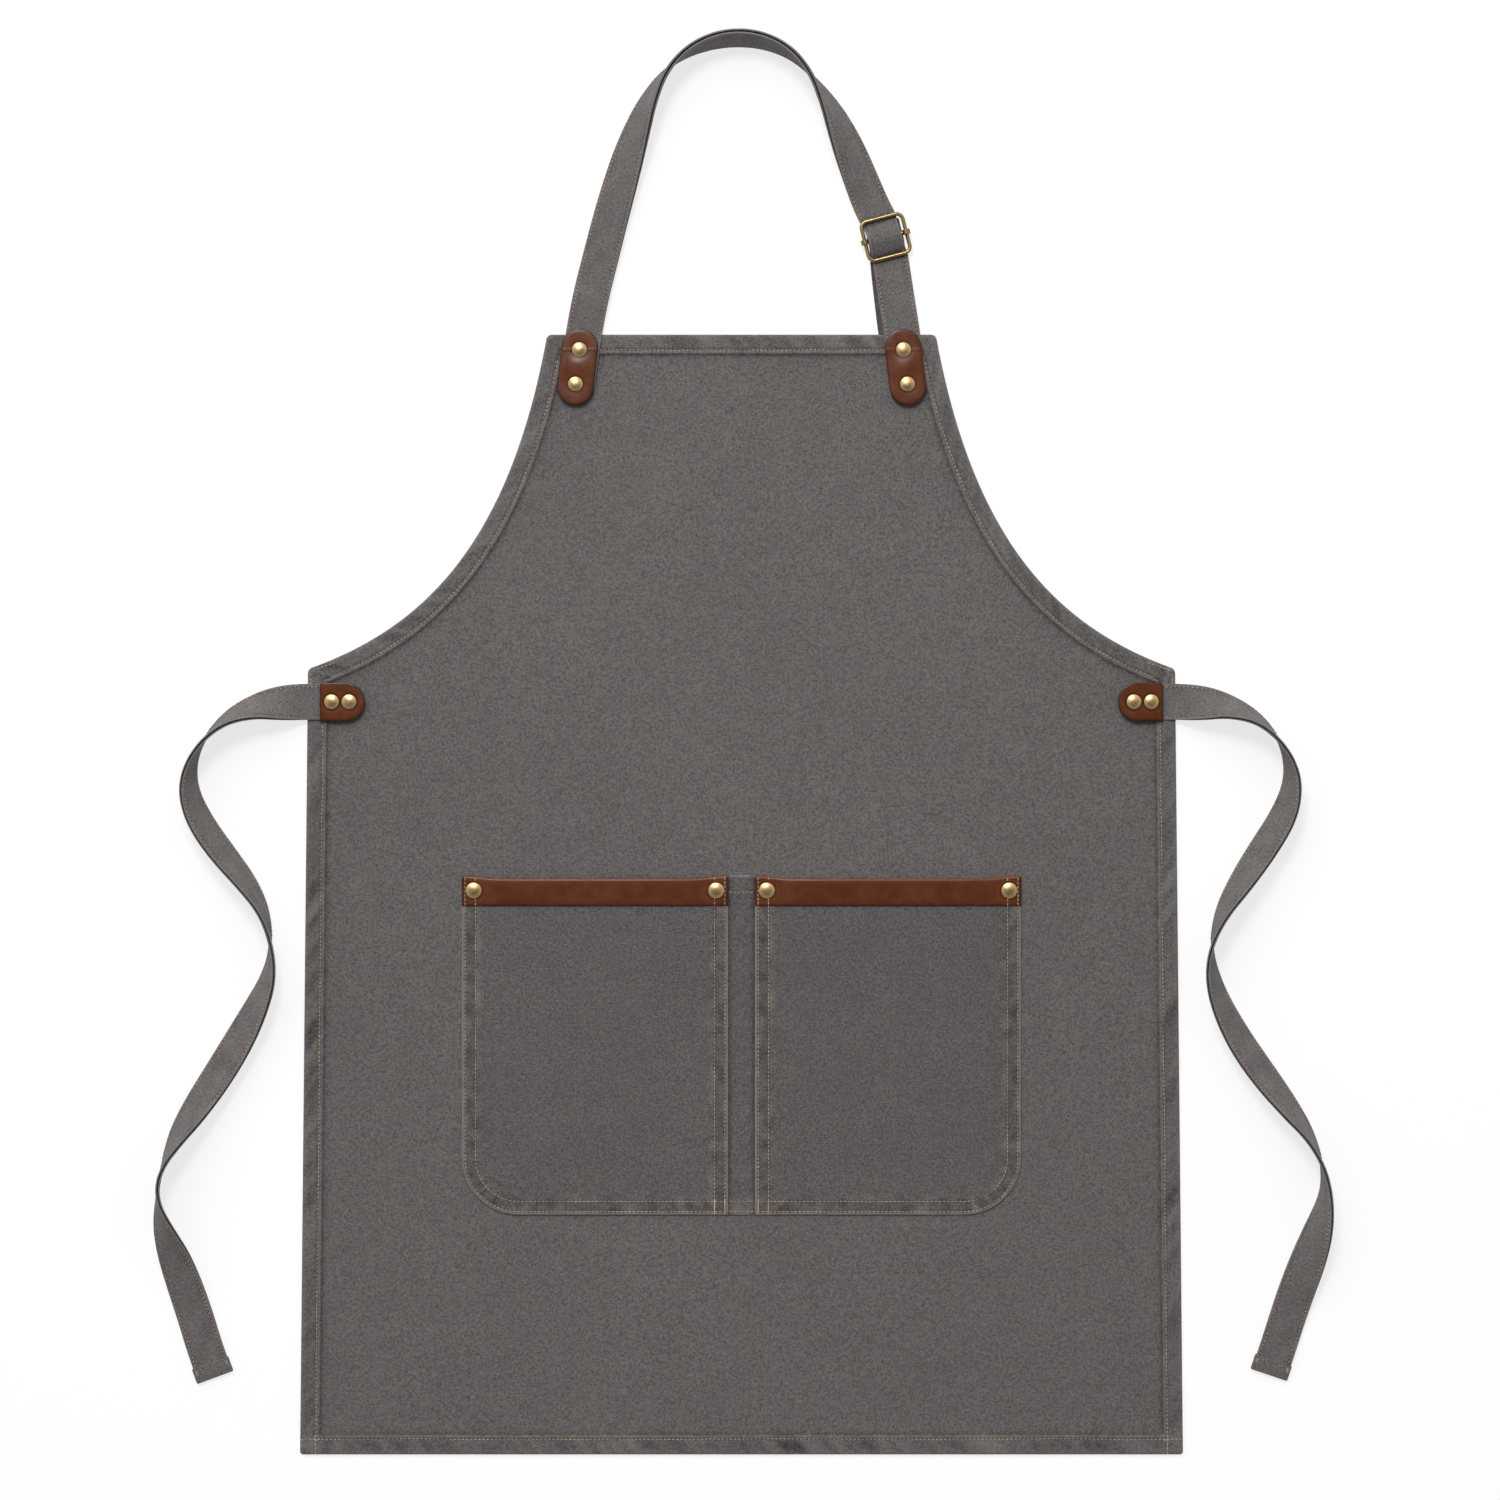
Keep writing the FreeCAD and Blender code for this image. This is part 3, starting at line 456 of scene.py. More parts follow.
@dataclass(frozen=True)
class ThreadFinish:
    """Twisted sewing thread, tan and a little faded."""

    name: str
    shade: tuple[float, float, float]

    def material(self) -> bpy.types.Material:
        """Build the material."""
        material, g, shader = new_material(self.name)
        vector = g.node("ShaderNodeTexCoord").outputs["Object"]
        faded = g.spread(g.noise(vector, 60.0, 3.0), 0.35, 0.65)
        colour = g.mix(faded, tinted(self.shade, 0.62), tinted(self.shade, 1.35))
        twist = g.node("ShaderNodeTexWave", {"bands_direction": "DIAGONAL"}, Vector=vector,
                       Scale=1400.0, Distortion=1.0).outputs["Fac"]
        # painted shade in the grooves of the twist
        colour = g.mix(g.spread(twist, 0.5, 0.0, 0.0, 0.5), colour, tinted(self.shade, 0.4))
        bump = g.node("ShaderNodeBump", Strength=0.5, Distance=0.08 * MM, Height=twist)
        g.tree.links.new(colour, shader.inputs["Base Color"])
        g.tree.links.new(g.spread(faded, 0.0, 1.0, 0.55, 0.75), shader.inputs["Roughness"])
        g.tree.links.new(bump.outputs[0], shader.inputs["Normal"])
        return material


@dataclass(frozen=True)
class TableFinish:
    """Pale matt table top that glows faintly, like a lit studio sweep, with a very faint tooth."""

    name: str = "pale_table"
    shade: tuple[float, float, float] = (0.30, 0.30, 0.30)
    glow: float = 0.73

    def material(self) -> bpy.types.Material:
        """Build the material."""
        material, g, shader = new_material(self.name)
        vector = g.node("ShaderNodeTexCoord").outputs["Object"]
        tooth = g.noise(vector, 14.0, 4.0)
        colour = g.mix(tooth, tinted(self.shade, 0.995), tinted(self.shade, 1.005))
        g.tree.links.new(colour, shader.inputs["Base Color"])
        shader.inputs["Roughness"].default_value = 0.9
        shader.inputs["Specular IOR Level"].default_value = 0.0
        shader.inputs["Emission Color"].default_value = (1.0, 1.0, 1.0, 1.0)
        shader.inputs["Emission Strength"].default_value = self.glow
        return material


class Finishes:
    """Every finish of the apron, made ready for use."""

    def __init__(self) -> None:
        """Make the materials."""
        grey = (0.1260, 0.1165, 0.1145)
        self.body = CanvasFinish("body_canvas", grey).material()
        self.pocket = CanvasFinish("pocket_canvas", tuple(0.81 * c for c in grey)).material()
        self.strap = CanvasFinish("strap_canvas", tuple(1.05 * c for c in grey),
                                  Layout.ALONG_STRAP).material()
        self.tab = LeatherFinish("tab_leather", (0.108, 0.026, 0.0070), 0.26).material()
        self.trim = LeatherFinish("trim_leather", (0.106, 0.0235, 0.0045), 0.34).material()
        self.rivet = BrassFinish("rivet_brass", (0.74, 0.52, 0.25), (0.42, 0.27, 0.11),
                                 0.26, 0.45).material()
        self.slider = BrassFinish("slider_brass", (0.36, 0.26, 0.125), (0.16, 0.105, 0.05),
                                  0.27, 0.60).material()
        self.thread = ThreadFinish("tan_thread", (0.50, 0.375, 0.245)).material()


# ---------------------------------------------------------------- mesh helpers

def finished(bm: bmesh.types.BMesh, name: str, material: bpy.types.Material) -> bpy.types.Object:
    """Turn a bmesh into a smooth-shaded object at the origin.

    Args:
        bm: the mesh, which is freed.
        name: the object's name.
        material: its finish.

    Returns:
        The object, linked to the scene.
    """
    for face in bm.faces:
        face.smooth = True
    mesh = bpy.data.meshes.new(name)
    bm.to_mesh(mesh)
    bm.free()
    mesh.materials.append(material)
    piece = bpy.data.objects.new(name, mesh)
    bpy.context.scene.collection.objects.link(piece)
    return piece


def settled(piece: bpy.types.Object, node: str, slot: str) -> bpy.types.Object:
    """Let a piece stand for a node of the frame and stay with the apron's cloth.

    Args:
        piece: the finished piece.
        node: the frame's node that it replaces.
        slot: not used.

    Returns:
        The piece.
    """
    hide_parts(node)
    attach(piece, "root")
    return piece


def sweep(bm: bmesh.types.BMesh, count: int, rows: int,
          place: Callable[[int, int], tuple[Vector, float]],
          lay_out: Callable[[int, int], tuple[float, float]]) -> None:
    """Wrap a grid into a closed tube with capped ends.

    Args:
        bm: the mesh that it goes in.
        count: how many cross-sections it has.
        rows: how many points each has.
        place: position of a section's point, and its value of fading and painted light.
        lay_out: UV in metres of a section's point, the first point coming round again as the last.
    """
    lay = bm.loops.layers.uv.new("lay")
    wear_and_shading_layer = bm.verts.layers.float.new("wear_and_shading")
    made = bmesh.ops.create_grid(bm, x_segments=count - 1, y_segments=rows, size=0.5, calc_uvs=True)
    for face in bm.faces:
        for loop in face.loops:
            u, v = loop[lay].uv
            loop[lay].uv = lay_out(round(u * (count - 1)), round(v * rows))
    for vert in made["verts"]:
        n = round((vert.co.x + 0.5) * (count - 1))
        vert.co, vert[wear_and_shading_layer] = place(n, round((vert.co.y + 0.5) * rows) % rows)
    bmesh.ops.remove_doubles(bm, verts=bm.verts[:], dist=0.002 * MM)
    bmesh.ops.holes_fill(bm, edges=[e for e in bm.edges if e.is_boundary], sides=0)


def smooth_line(points: list[Vector], steps_per_run: int) -> list[Vector]:
    """Points along the NURBS line that has the given control points.

    Args:
        points: the control points.
        steps_per_run: how finely each run is divided.

    Returns:
        The line's points, the first and last control points among them.
    """
    curve = bpy.data.curves.new("route", "CURVE")
    curve.dimensions = "3D"
    curve.resolution_u = steps_per_run
    spline = curve.splines.new("NURBS")
    spline.points.add(len(points) - 1)
    for slot, point in zip(spline.points, points):
        slot.co = (*point, 1.0)
    spline.order_u = 3
    spline.use_endpoint_u = True
    holder = bpy.data.objects.new("route", curve)
    mesh = bpy.data.meshes.new_from_object(holder)
    line = [vertex.co.copy() for vertex in mesh.vertices]
    bpy.data.objects.remove(holder)
    bpy.data.curves.remove(curve)
    bpy.data.meshes.remove(mesh)
    return line


def spaced(path: list[Vector], pitch: float) -> list[tuple[Vector, Vector]]:
    """Evenly spaced places along a path.

    Args:
        path: the points that it runs through.
        pitch: distance from one place to the next.

    Returns:
        Each place with its heading.
    """
    places = []
    left = pitch / 2
    for a, b in zip(path, path[1:]):
        run = (b - a).length
        while left <= run and run > 0:
            places.append((a.lerp(b, left / run), (b - a).normalized()))
            left += pitch
        left -= run
    return places


@dataclass(frozen=True)
class Stitch:
    """Size of one visible stitch."""

    length: float = 2.65 * MM
    width: float = 0.80 * MM
    height: float = 0.56 * MM


class Seam:
    """Stitches gathered place by place, then made as small rounded grains of thread."""

    BATCH = 48

    def __init__(self) -> None:
        """Start with no stitches."""
        self.places: list[Matrix] = []

    def sew(self, stitch: Stitch, spot: Vector, heading: Vector, up: Vector) -> None:
        """Add one stitch, lying along heading with its back to up."""
        side = up.cross(heading).normalized()
        turn = Matrix((heading, side, heading.cross(side))).transposed().to_4x4()
        size = Matrix.Diagonal((stitch.length / 2, stitch.width / 2, stitch.height / 2, 1.0))
        self.places.append(Matrix.Translation(spot) @ turn @ size)

    def sew_row(self, stitch: Stitch, path: list[Vector]) -> None:
        """Add a flat-lying row of stitches along a path."""
        for n, (spot, heading) in enumerate(spaced(path, STITCH_PITCH)):
            skew = 0.10 * ripple(n * 0.7, path[0].x * 9, 3.0)
            turned = Vector((heading.x - skew * heading.y, heading.y + skew * heading.x, heading.z))
            self.sew(stitch, spot, turned.normalized(), UP)

    def made(self, name: str, material: bpy.types.Material) -> bpy.types.Object:
        """Make the seam as one piece, batch by batch."""
        whole = bmesh.new()
        batch_mesh = bpy.data.meshes.new("batch")
        for first in range(0, len(self.places), self.BATCH):
            batch = bmesh.new()
            for place in self.places[first:first + self.BATCH]:
                bmesh.ops.create_uvsphere(batch, u_segments=6, v_segments=4, radius=1.0, matrix=place)
            batch.to_mesh(batch_mesh)
            batch.free()
            whole.from_mesh(batch_mesh)
        bpy.data.meshes.remove(batch_mesh)
        return finished(whole, name, material)


@dataclass(frozen=True)
class Side:
    """One side of a cut piece: a straight line or a Bezier curve, run anticlockwise."""

    handles: tuple[Vector, ...]

    def point(self, share: float) -> Vector:
        """Point at a share of the side."""
        row = list(self.handles)
        while len(row) > 1:
            row = [a.lerp(b, share) for a, b in zip(row, row[1:])]
        return row[0]

    def heading(self, share: float) -> Vector:
        """Direction of travel at a share of the side."""
        step = 0.001
        return (self.point(min(1.0, share + step)) - self.point(max(0.0, share - step))).normalized()

    def inward(self, share: float) -> Vector:
        """Direction into the piece, square to the side."""
        ahead = self.heading(share)
        return Vector((-ahead.y, ahead.x, 0.0))

    def length(self) -> float:
        """Length of the side."""
        marks = [self.point(n / 32) for n in range(33)]
        return sum((b - a).length for a, b in zip(marks, marks[1:]))


@dataclass(frozen=True)
class Spot:
    """A place on a laid panel, by its plan, its inset from the edge and its run along it."""

    x: float
    y: float
    inset: float
    run: float
    side: int


@dataclass
class LaidPanel:
    """A flat piece cut to an outline, with rings along its edge and a plain grid inside.

    The rings follow the edge, so a hem, a rounded rim or a seam keeps its width all the way
    round, and its corners are mitred.
    """

    sides: list[Side]
    fillets: list[float]
    insets: list[float]
    station: float
    grid: float
    fan_reach: float = 45.0 * MM

    def __post_init__(self) -> None:
        """Work out the turn at the start of each side."""
        self.turns = []
        for before, after in zip([self.sides[-1], *self.sides], self.sides):
            a, b = before.heading(1.0), after.heading(0.0)
            self.turns.append(math.atan2(a.x * b.y - a.y * b.x, a.dot(b)))

    def spread_point(self, index: int, share: float, inset: float) -> Vector:
        """Plan position at an inset from one side, fanned out towards its mitred ends."""
        side = self.sides[index]
        length = side.length()
        reach = min(self.fan_reach, length / 2)
        near_start = max(0.0, 1 - share * length / reach)
        near_end = max(0.0, 1 - (1 - share) * length / reach)
        end_turn = self.turns[(index + 1) % len(self.sides)]
        slide = math.tan(self.turns[index] / 2) * near_start - math.tan(end_turn / 2) * near_end
        place = side.point(share) + (side.inward(share) + side.heading(share) * slide) * inset
        for corner in (index, (index + 1) % len(self.sides)):
            place = self.rounded(corner, place, inset)
        return place

    def rounded(self, corner: int, place: Vector, inset: float) -> Vector:
        """Carry a place near a corner on to its fillet's arc."""
        radius = self.fillets[corner]
        if inset >= radius:
            return place
        before, after = self.sides[corner - 1].heading(1.0), self.sides[corner].heading(0.0)
        slide = math.tan(self.turns[corner] / 2)
        point = self.sides[corner].point(0.0)
        centre = point + (self.sides[corner].inward(0.0) + after * slide) * radius
        out = place - centre
        if out.dot(before) <= 0 or out.dot(after) >= 0 or out.length > 2 * radius:
            return place
        return centre + out.normalized() * (radius - inset)

    def marks(self, index: int, length: float) -> list[float]:
        """Shares of a side where its stations stand, closer together on a rounded corner."""
        rounds = [self.fillets[index], self.fillets[(index + 1) % len(self.sides)]]
        near = [1.6 * r / length if r > 1 * MM else 0.0 for r in rounds]
        steps = [max(4, round(r / (0.55 * MM))) if n else 0 for r, n in zip(rounds, near)]
        middle = max(2, round(length * (1 - near[0] - near[1]) / self.station))
        shares = [near[0] * n / steps[0] for n in range(steps[0])]
        shares += [near[0] + (1 - near[0] - near[1]) * n / middle for n in range(middle + 1)]
        shares += [1 - near[1] * (1 - n / steps[1]) for n in range(1, steps[1] + 1)]
        return shares

    def top_sheet(self) -> bmesh.types.BMesh:
        """The flat pattern: rings along the edge, and a grid inside them."""
        bm = bmesh.new()
        inset_layer = bm.verts.layers.float.new("inset")
        run_layer = bm.verts.layers.float.new("run")
        side_layer = bm.verts.layers.float.new("side")
        bm.verts.layers.float.new("wear_and_shading")
        run_so_far = 0.0
        last = len(self.insets) - 1
        for index, side in enumerate(self.sides):
            length = side.length()
            marks = self.marks(index, length)
            steps = len(marks) - 1
            made = bmesh.ops.create_grid(bm, x_segments=steps, y_segments=last, size=0.5)
            for vert in made["verts"]:
                share = marks[round((vert.co.x + 0.5) * steps)]
                inset = self.insets[round((vert.co.y + 0.5) * last)]
                vert[inset_layer] = inset
                vert[run_layer] = run_so_far + share * length
                vert[side_layer] = index
                vert.co = self.spread_point(index, share, inset)
            run_so_far += length
        bmesh.ops.remove_doubles(bm, verts=bm.verts[:], dist=0.01 * MM)
        rim = [e for e in bm.edges if e.is_boundary
               and all(v[inset_layer] > self.insets[-1] - 1e-6 for v in e.verts)]
        middle = bmesh.ops.contextual_create(bm, geom=rim)["faces"]
        self.cut_grid(bm, middle)
        return bm

    def cut_grid(self, bm: bmesh.types.BMesh, faces: list[bmesh.types.BMFace]) -> None:
        """Cut faces along evenly spaced lines in X and in Y."""
        verts = {v for f in faces for v in f.verts}
        edges = {e for f in faces for e in f.edges}
        geometry = [*verts, *edges, *faces]
        for axis in (1, 0):
            low = min(v.co[axis] for v in verts)
            high = max(v.co[axis] for v in verts)
            count = max(1, round((high - low) / self.grid))
            normal = Vector((1.0, 0.0, 0.0)) if axis == 0 else Vector((0.0, 1.0, 0.0))
            for n in range(1, count):
                where = normal * (low + (high - low) * n / count)
                cut = bmesh.ops.bisect_plane(bm, geom=geometry, plane_co=where, plane_no=normal,
                                             dist=0.01 * MM)
                geometry = cut["geom"]

    def build(self, name: str, material: bpy.types.Material, top: Callable[[Spot], float],
              under: Callable[[Spot], float], wear_and_shading: Callable[[Spot], float]) -> bpy.types.Object:
        """Make the closed piece from the pattern.

        Args:
            name: the piece's name.
            material: its finish.
            top: height of its upper face at a spot.
            under: height of its lower face at a spot.
            wear_and_shading: 0.5 for plain, up to 1 for faded cloth and painted highlight, and down to 0 for
                painted shade.

        Returns:
            The piece.
        """
        bm = self.top_sheet()
        inset, run, side, wear_and_shading_layer = (bm.verts.layers.float[n] for n in ("inset", "run", "side", "wear_and_shading"))
        upper = bm.verts[:]
        spots = {v: Spot(v.co.x, v.co.y, v[inset], v[run], round(v[side])) for v in upper}
        lower = bmesh.ops.duplicate(bm, geom=bm.verts[:] + bm.edges[:] + bm.faces[:])
        pairs = lower["vert_map"]
        bmesh.ops.reverse_faces(bm, faces=[g for g in lower["geom"] if isinstance(g, bmesh.types.BMFace)])
        for vert in upper:
            spot = spots[vert]
            vert.co.z = top(spot)
            vert[wear_and_shading_layer] = wear_and_shading(spot)
            pairs[vert].co.z = under(spot)
            pairs[vert][wear_and_shading_layer] = 0.5
        bmesh.ops.bridge_loops(bm, edges=[e for e in bm.edges if e.is_boundary])
        bmesh.ops.recalc_face_normals(bm, faces=bm.faces[:])
        return finished(bm, name, material)


def straight(*corners: Vector) -> list[Side]:
    """Straight sides through corners, closed back to the first."""
    return [Side((a, b)) for a, b in zip(corners, [*corners[1:], corners[0]])]


def oblong(low: float, high: float, bottom: float, top: float) -> list[Side]:
    """Sides of an oblong between two places across and two heights, its first side the bottom."""
    return straight(at(low, bottom), at(high, bottom), at(high, top), at(low, top))


def quarter(centre: Vector, radius: float, turn: float) -> Side:
    """Quarter circle as a Bezier side, run anticlockwise from the given angle."""
    handle = 0.5523 * radius
    start = Vector((math.cos(turn), math.sin(turn), 0.0))
    end = Vector((-math.sin(turn), math.cos(turn), 0.0))
    return Side((centre + start * radius, centre + start * radius + end * handle,
                 centre + end * radius + start * handle, centre + end * radius))


# ---------------------------------------------------------------- body

@dataclass
class Body:
    """The apron's canvas body with its turned, puckered hem and the hem's stitching."""

    finishes: Finishes
    half_hem: float = 342.6 * MM
    half_shoulder: float = 336.5 * MM
    shoulder_height: float = 609.5 * MM
    half_bib: float = 150.8 * MM
    length: float = 869.0 * MM
    armhole_upper: tuple[float, float] = (180.9 * MM, 701.7 * MM)
    armhole_lower: tuple[float, float] = (250.7 * MM, 639.8 * MM)
    hem_width: float = 15.0 * MM
    pucker: float = 0.62 * MM
    seam_step: float = 4.0 * MM
    stops: tuple[tuple[float, float], ...] = (
        (0, 0), (0, 0.024), (0.016, 0.012), (0.012, 0.012), (0.012, 0.016), (0.024, 0))

    def sides(self) -> list[Side]:
        """Outline, anticlockwise from the bottom left corner."""
        hem, shoulder, bib = self.half_hem, self.half_shoulder, self.half_bib
        top, waist = self.length, self.shoulder_height
        (ux, uh), (lx, lh) = self.armhole_upper, self.armhole_lower
        return [
            Side((at(-hem, 0), at(hem, 0))),
            Side((at(hem, 0), at(shoulder, waist))),
            Side((at(shoulder, waist), at(lx, lh), at(ux, uh), at(bib, top))),
            Side((at(bib, top), at(-bib, top))),
            Side((at(-bib, top), at(-ux, uh), at(-lx, lh), at(-shoulder, waist))),
            Side((at(-shoulder, waist), at(-hem, 0))),
        ]

    def panel(self) -> LaidPanel:
        """Pattern of the body."""
        insets = [i * MM for i in (0, 0.2, 0.7, 1.6, 3.2, 5.0, 6.8, 8.6, 10.2, 11.2, 11.7, 12.3,
                                   12.8, 13.5, 14.3, 14.9, 15.5, 16.6, 18.6, 22.0)]
        fillets = [r * MM for r in (2.5, 2.5, 5.0, 4.5, 4.5, 5.0)]
        return LaidPanel(self.sides(), fillets, insets, 3.0 * MM, 7.0 * MM)

    def rope(self, spot: Spot) -> float:
        """Puckering of the hem at a spot, from -1 in a hollow to 1 on a ridge."""
        slant = 0.85 if spot.side in (0, 3) else 1.5
        phase = spot.run / (8.5 * MM) + slant * spot.inset / (9 * MM)
        wave = 0.75 * ripple(phase, 0.3, 1.7) + 0.45 * ripple(phase * 0.37, 4.0, 8.2)
        strength = 0.75 + 0.5 * ripple(spot.run / (90 * MM), 2.0, 5.0)
        return wave * strength

    def top(self, spot: Spot) -> float:
        """Height of the front face."""
        level = graded(spot.inset / MM, [
            (0, 1.45), (0.2, 1.85), (0.7, 2.2), (1.6, 2.38), (3.2, 2.42), (10.2, 2.40), (11.2, 2.25),
            (11.7, 1.90), (12.3, 1.90), (12.8, 2.25), (13.5, 2.48), (14.3, 2.42), (14.9, 2.05),
            (15.5, 1.55), (16.6, 1.22), (18.6, 1.05), (22.0, 0.98)]) * MM
        crossed = self.crossing(spot)
        if crossed and spot.inset > 1.6 * MM:
            groove = max(math.exp(-((d - HEM_STITCH_INSET) / (0.7 * MM)) ** 2) for d in crossed)
            return (2.52 - 0.4 * groove) * MM
        swell = graded(spot.inset / MM, [(0, 0.15), (1.6, 0.6), (5, 1.0), (8, 0.95), (11.2, 0.25),
                                         (12.3, 0.05), (13.5, 0.35), (15.5, 0.12), (18, 0.0)])
        inside = smooth((spot.inset - 15 * MM) / (7 * MM))
        broad = 0.22 * ripple(spot.x / 0.10, spot.y / 0.12, 11.0) + 0.10 * ripple(
            spot.x / 0.035, spot.y / 0.05, 14.0)
        return level + self.pucker * swell * self.rope(spot) + inside * broad * MM

    def under(self, spot: Spot) -> float:
        """Height of the back face, with the step of the turned-in ply."""
        return graded(spot.inset / MM, [(0, 1.05), (0.2, 0.55), (0.7, 0.18), (1.6, 0.0), (13.5, 0.0),
                                        (14.3, 0.05), (14.9, 0.35), (15.5, 0.62), (16.6, 0.30),
                                        (18.6, 0.02), (22.0, 0.0)]) * MM

    def wear_and_shading(self, spot: Spot) -> float:
        """Paler on the fold and the pucker ridges, partly fading and partly painted highlight; painted shade
        in the hollows and in the seam's groove, and a painted shadow just inside the hem's ridge.
        """
        # the dip at the stitch line is painted shade and the dip just past the hem's ridge is a painted
        # shadow
        level = graded(spot.inset / MM, [
            (0, 0.60), (0.7, 0.64), (1.6, 0.55), (5, 0.44), (9, 0.46), (11.2, 0.40), (11.7, 0.24),
            (12.3, 0.26), (12.8, 0.54), (13.5, 0.64), (14.3, 0.58), (14.9, 0.40), (15.5, 0.22),
            (16.6, 0.34), (18.6, 0.46), (22.0, 0.5)])
        if self.crossing(spot):
            return 0.60 + 0.12 * ripple(spot.x / 0.006, spot.y / 0.006, 9.0)
        swell = graded(spot.inset / MM, [(0, 0.3), (3, 0.9), (8, 1.0), (11.2, 0.5), (13.5, 0.5),
                                         (16, 0.15), (20, 0.0)])
        return held(level + 0.36 * swell * self.rope(spot))

    def crossing(self, spot: Spot) -> tuple[float, float] | None:
        """At a bottom corner, where two hems cross, the distances in from the side and the bottom."""
        rise = spot.y - BODY_LOW.y
        across = self.half_hem - rise * (self.half_hem - self.half_shoulder) / self.shoulder_height
        inwards = across - abs(spot.x)
        if inwards > self.hem_width or rise > self.hem_width:
            return None
        return inwards, rise

    def seam_path(self, side: Side) -> list[Vector]:
        """Line of the hem's stitches along one side, run out to the edges it meets."""
        steps = max(2, round(side.length() / self.seam_step))
        line = []
        for n in range(steps + 1):
            share = n / steps
            ends = min(share, 1 - share) * side.length()
            rise = 2.42 * MM if ends < HEM_STITCH_INSET + 1.5 * MM else 2.06 * MM
            sway = 0.22 * MM * ripple(n * 0.11, 0.0, side.handles[0].x * 7)
            place = side.point(share) + side.inward(share) * (HEM_STITCH_INSET + sway)
            line.append(Vector((place.x, place.y, rise)))
        return line

    def stitches(self) -> bpy.types.Object:
        """Hem stitching, with the short extra rows that close the shoulder corners."""
        seam, stitch = Seam(), Stitch()
        for index, side in enumerate(self.sides()):
            path = self.seam_path(side)
            skip = [round(cut / self.seam_step) for cut in self.stops[index]]
            seam.sew_row(stitch, path[skip[0]:len(path) - skip[1]])
        for hand in Hand:
            sign = hand.value
            corner = at(sign * self.half_shoulder, self.shoulder_height)
            along = Vector((-sign * 0.943, 0.333, 0.0))
            inward = Vector((-sign * 0.333, -0.943, 0.0))
            tip = corner + inward * 2.4 * MM + along * 3.0 * MM + Vector((0, 0, 2.46 * MM))
            seam.sew_row(stitch, [tip, tip + along * 20 * MM])
            down = corner + Vector((-sign * 2.4 * MM, -3.5 * MM, 2.46 * MM))
            seam.sew_row(stitch, [down, down + Vector((0, -9 * MM, 0))])
        return seam.made("hem_stitches", self.finishes.thread)

    def build(self) -> list[bpy.types.Object]:
        """Make the body and its stitching."""
        panel = self.panel().build("body_cloth", self.finishes.body, self.top, self.under, self.wear_and_shading)
        settled(panel, "body_panel", "body_canvas")
        stitches = settled(self.stitches(), "hem_thread", "stitch_thread")
        return [panel, stitches]


# ---------------------------------------------------------------- pockets

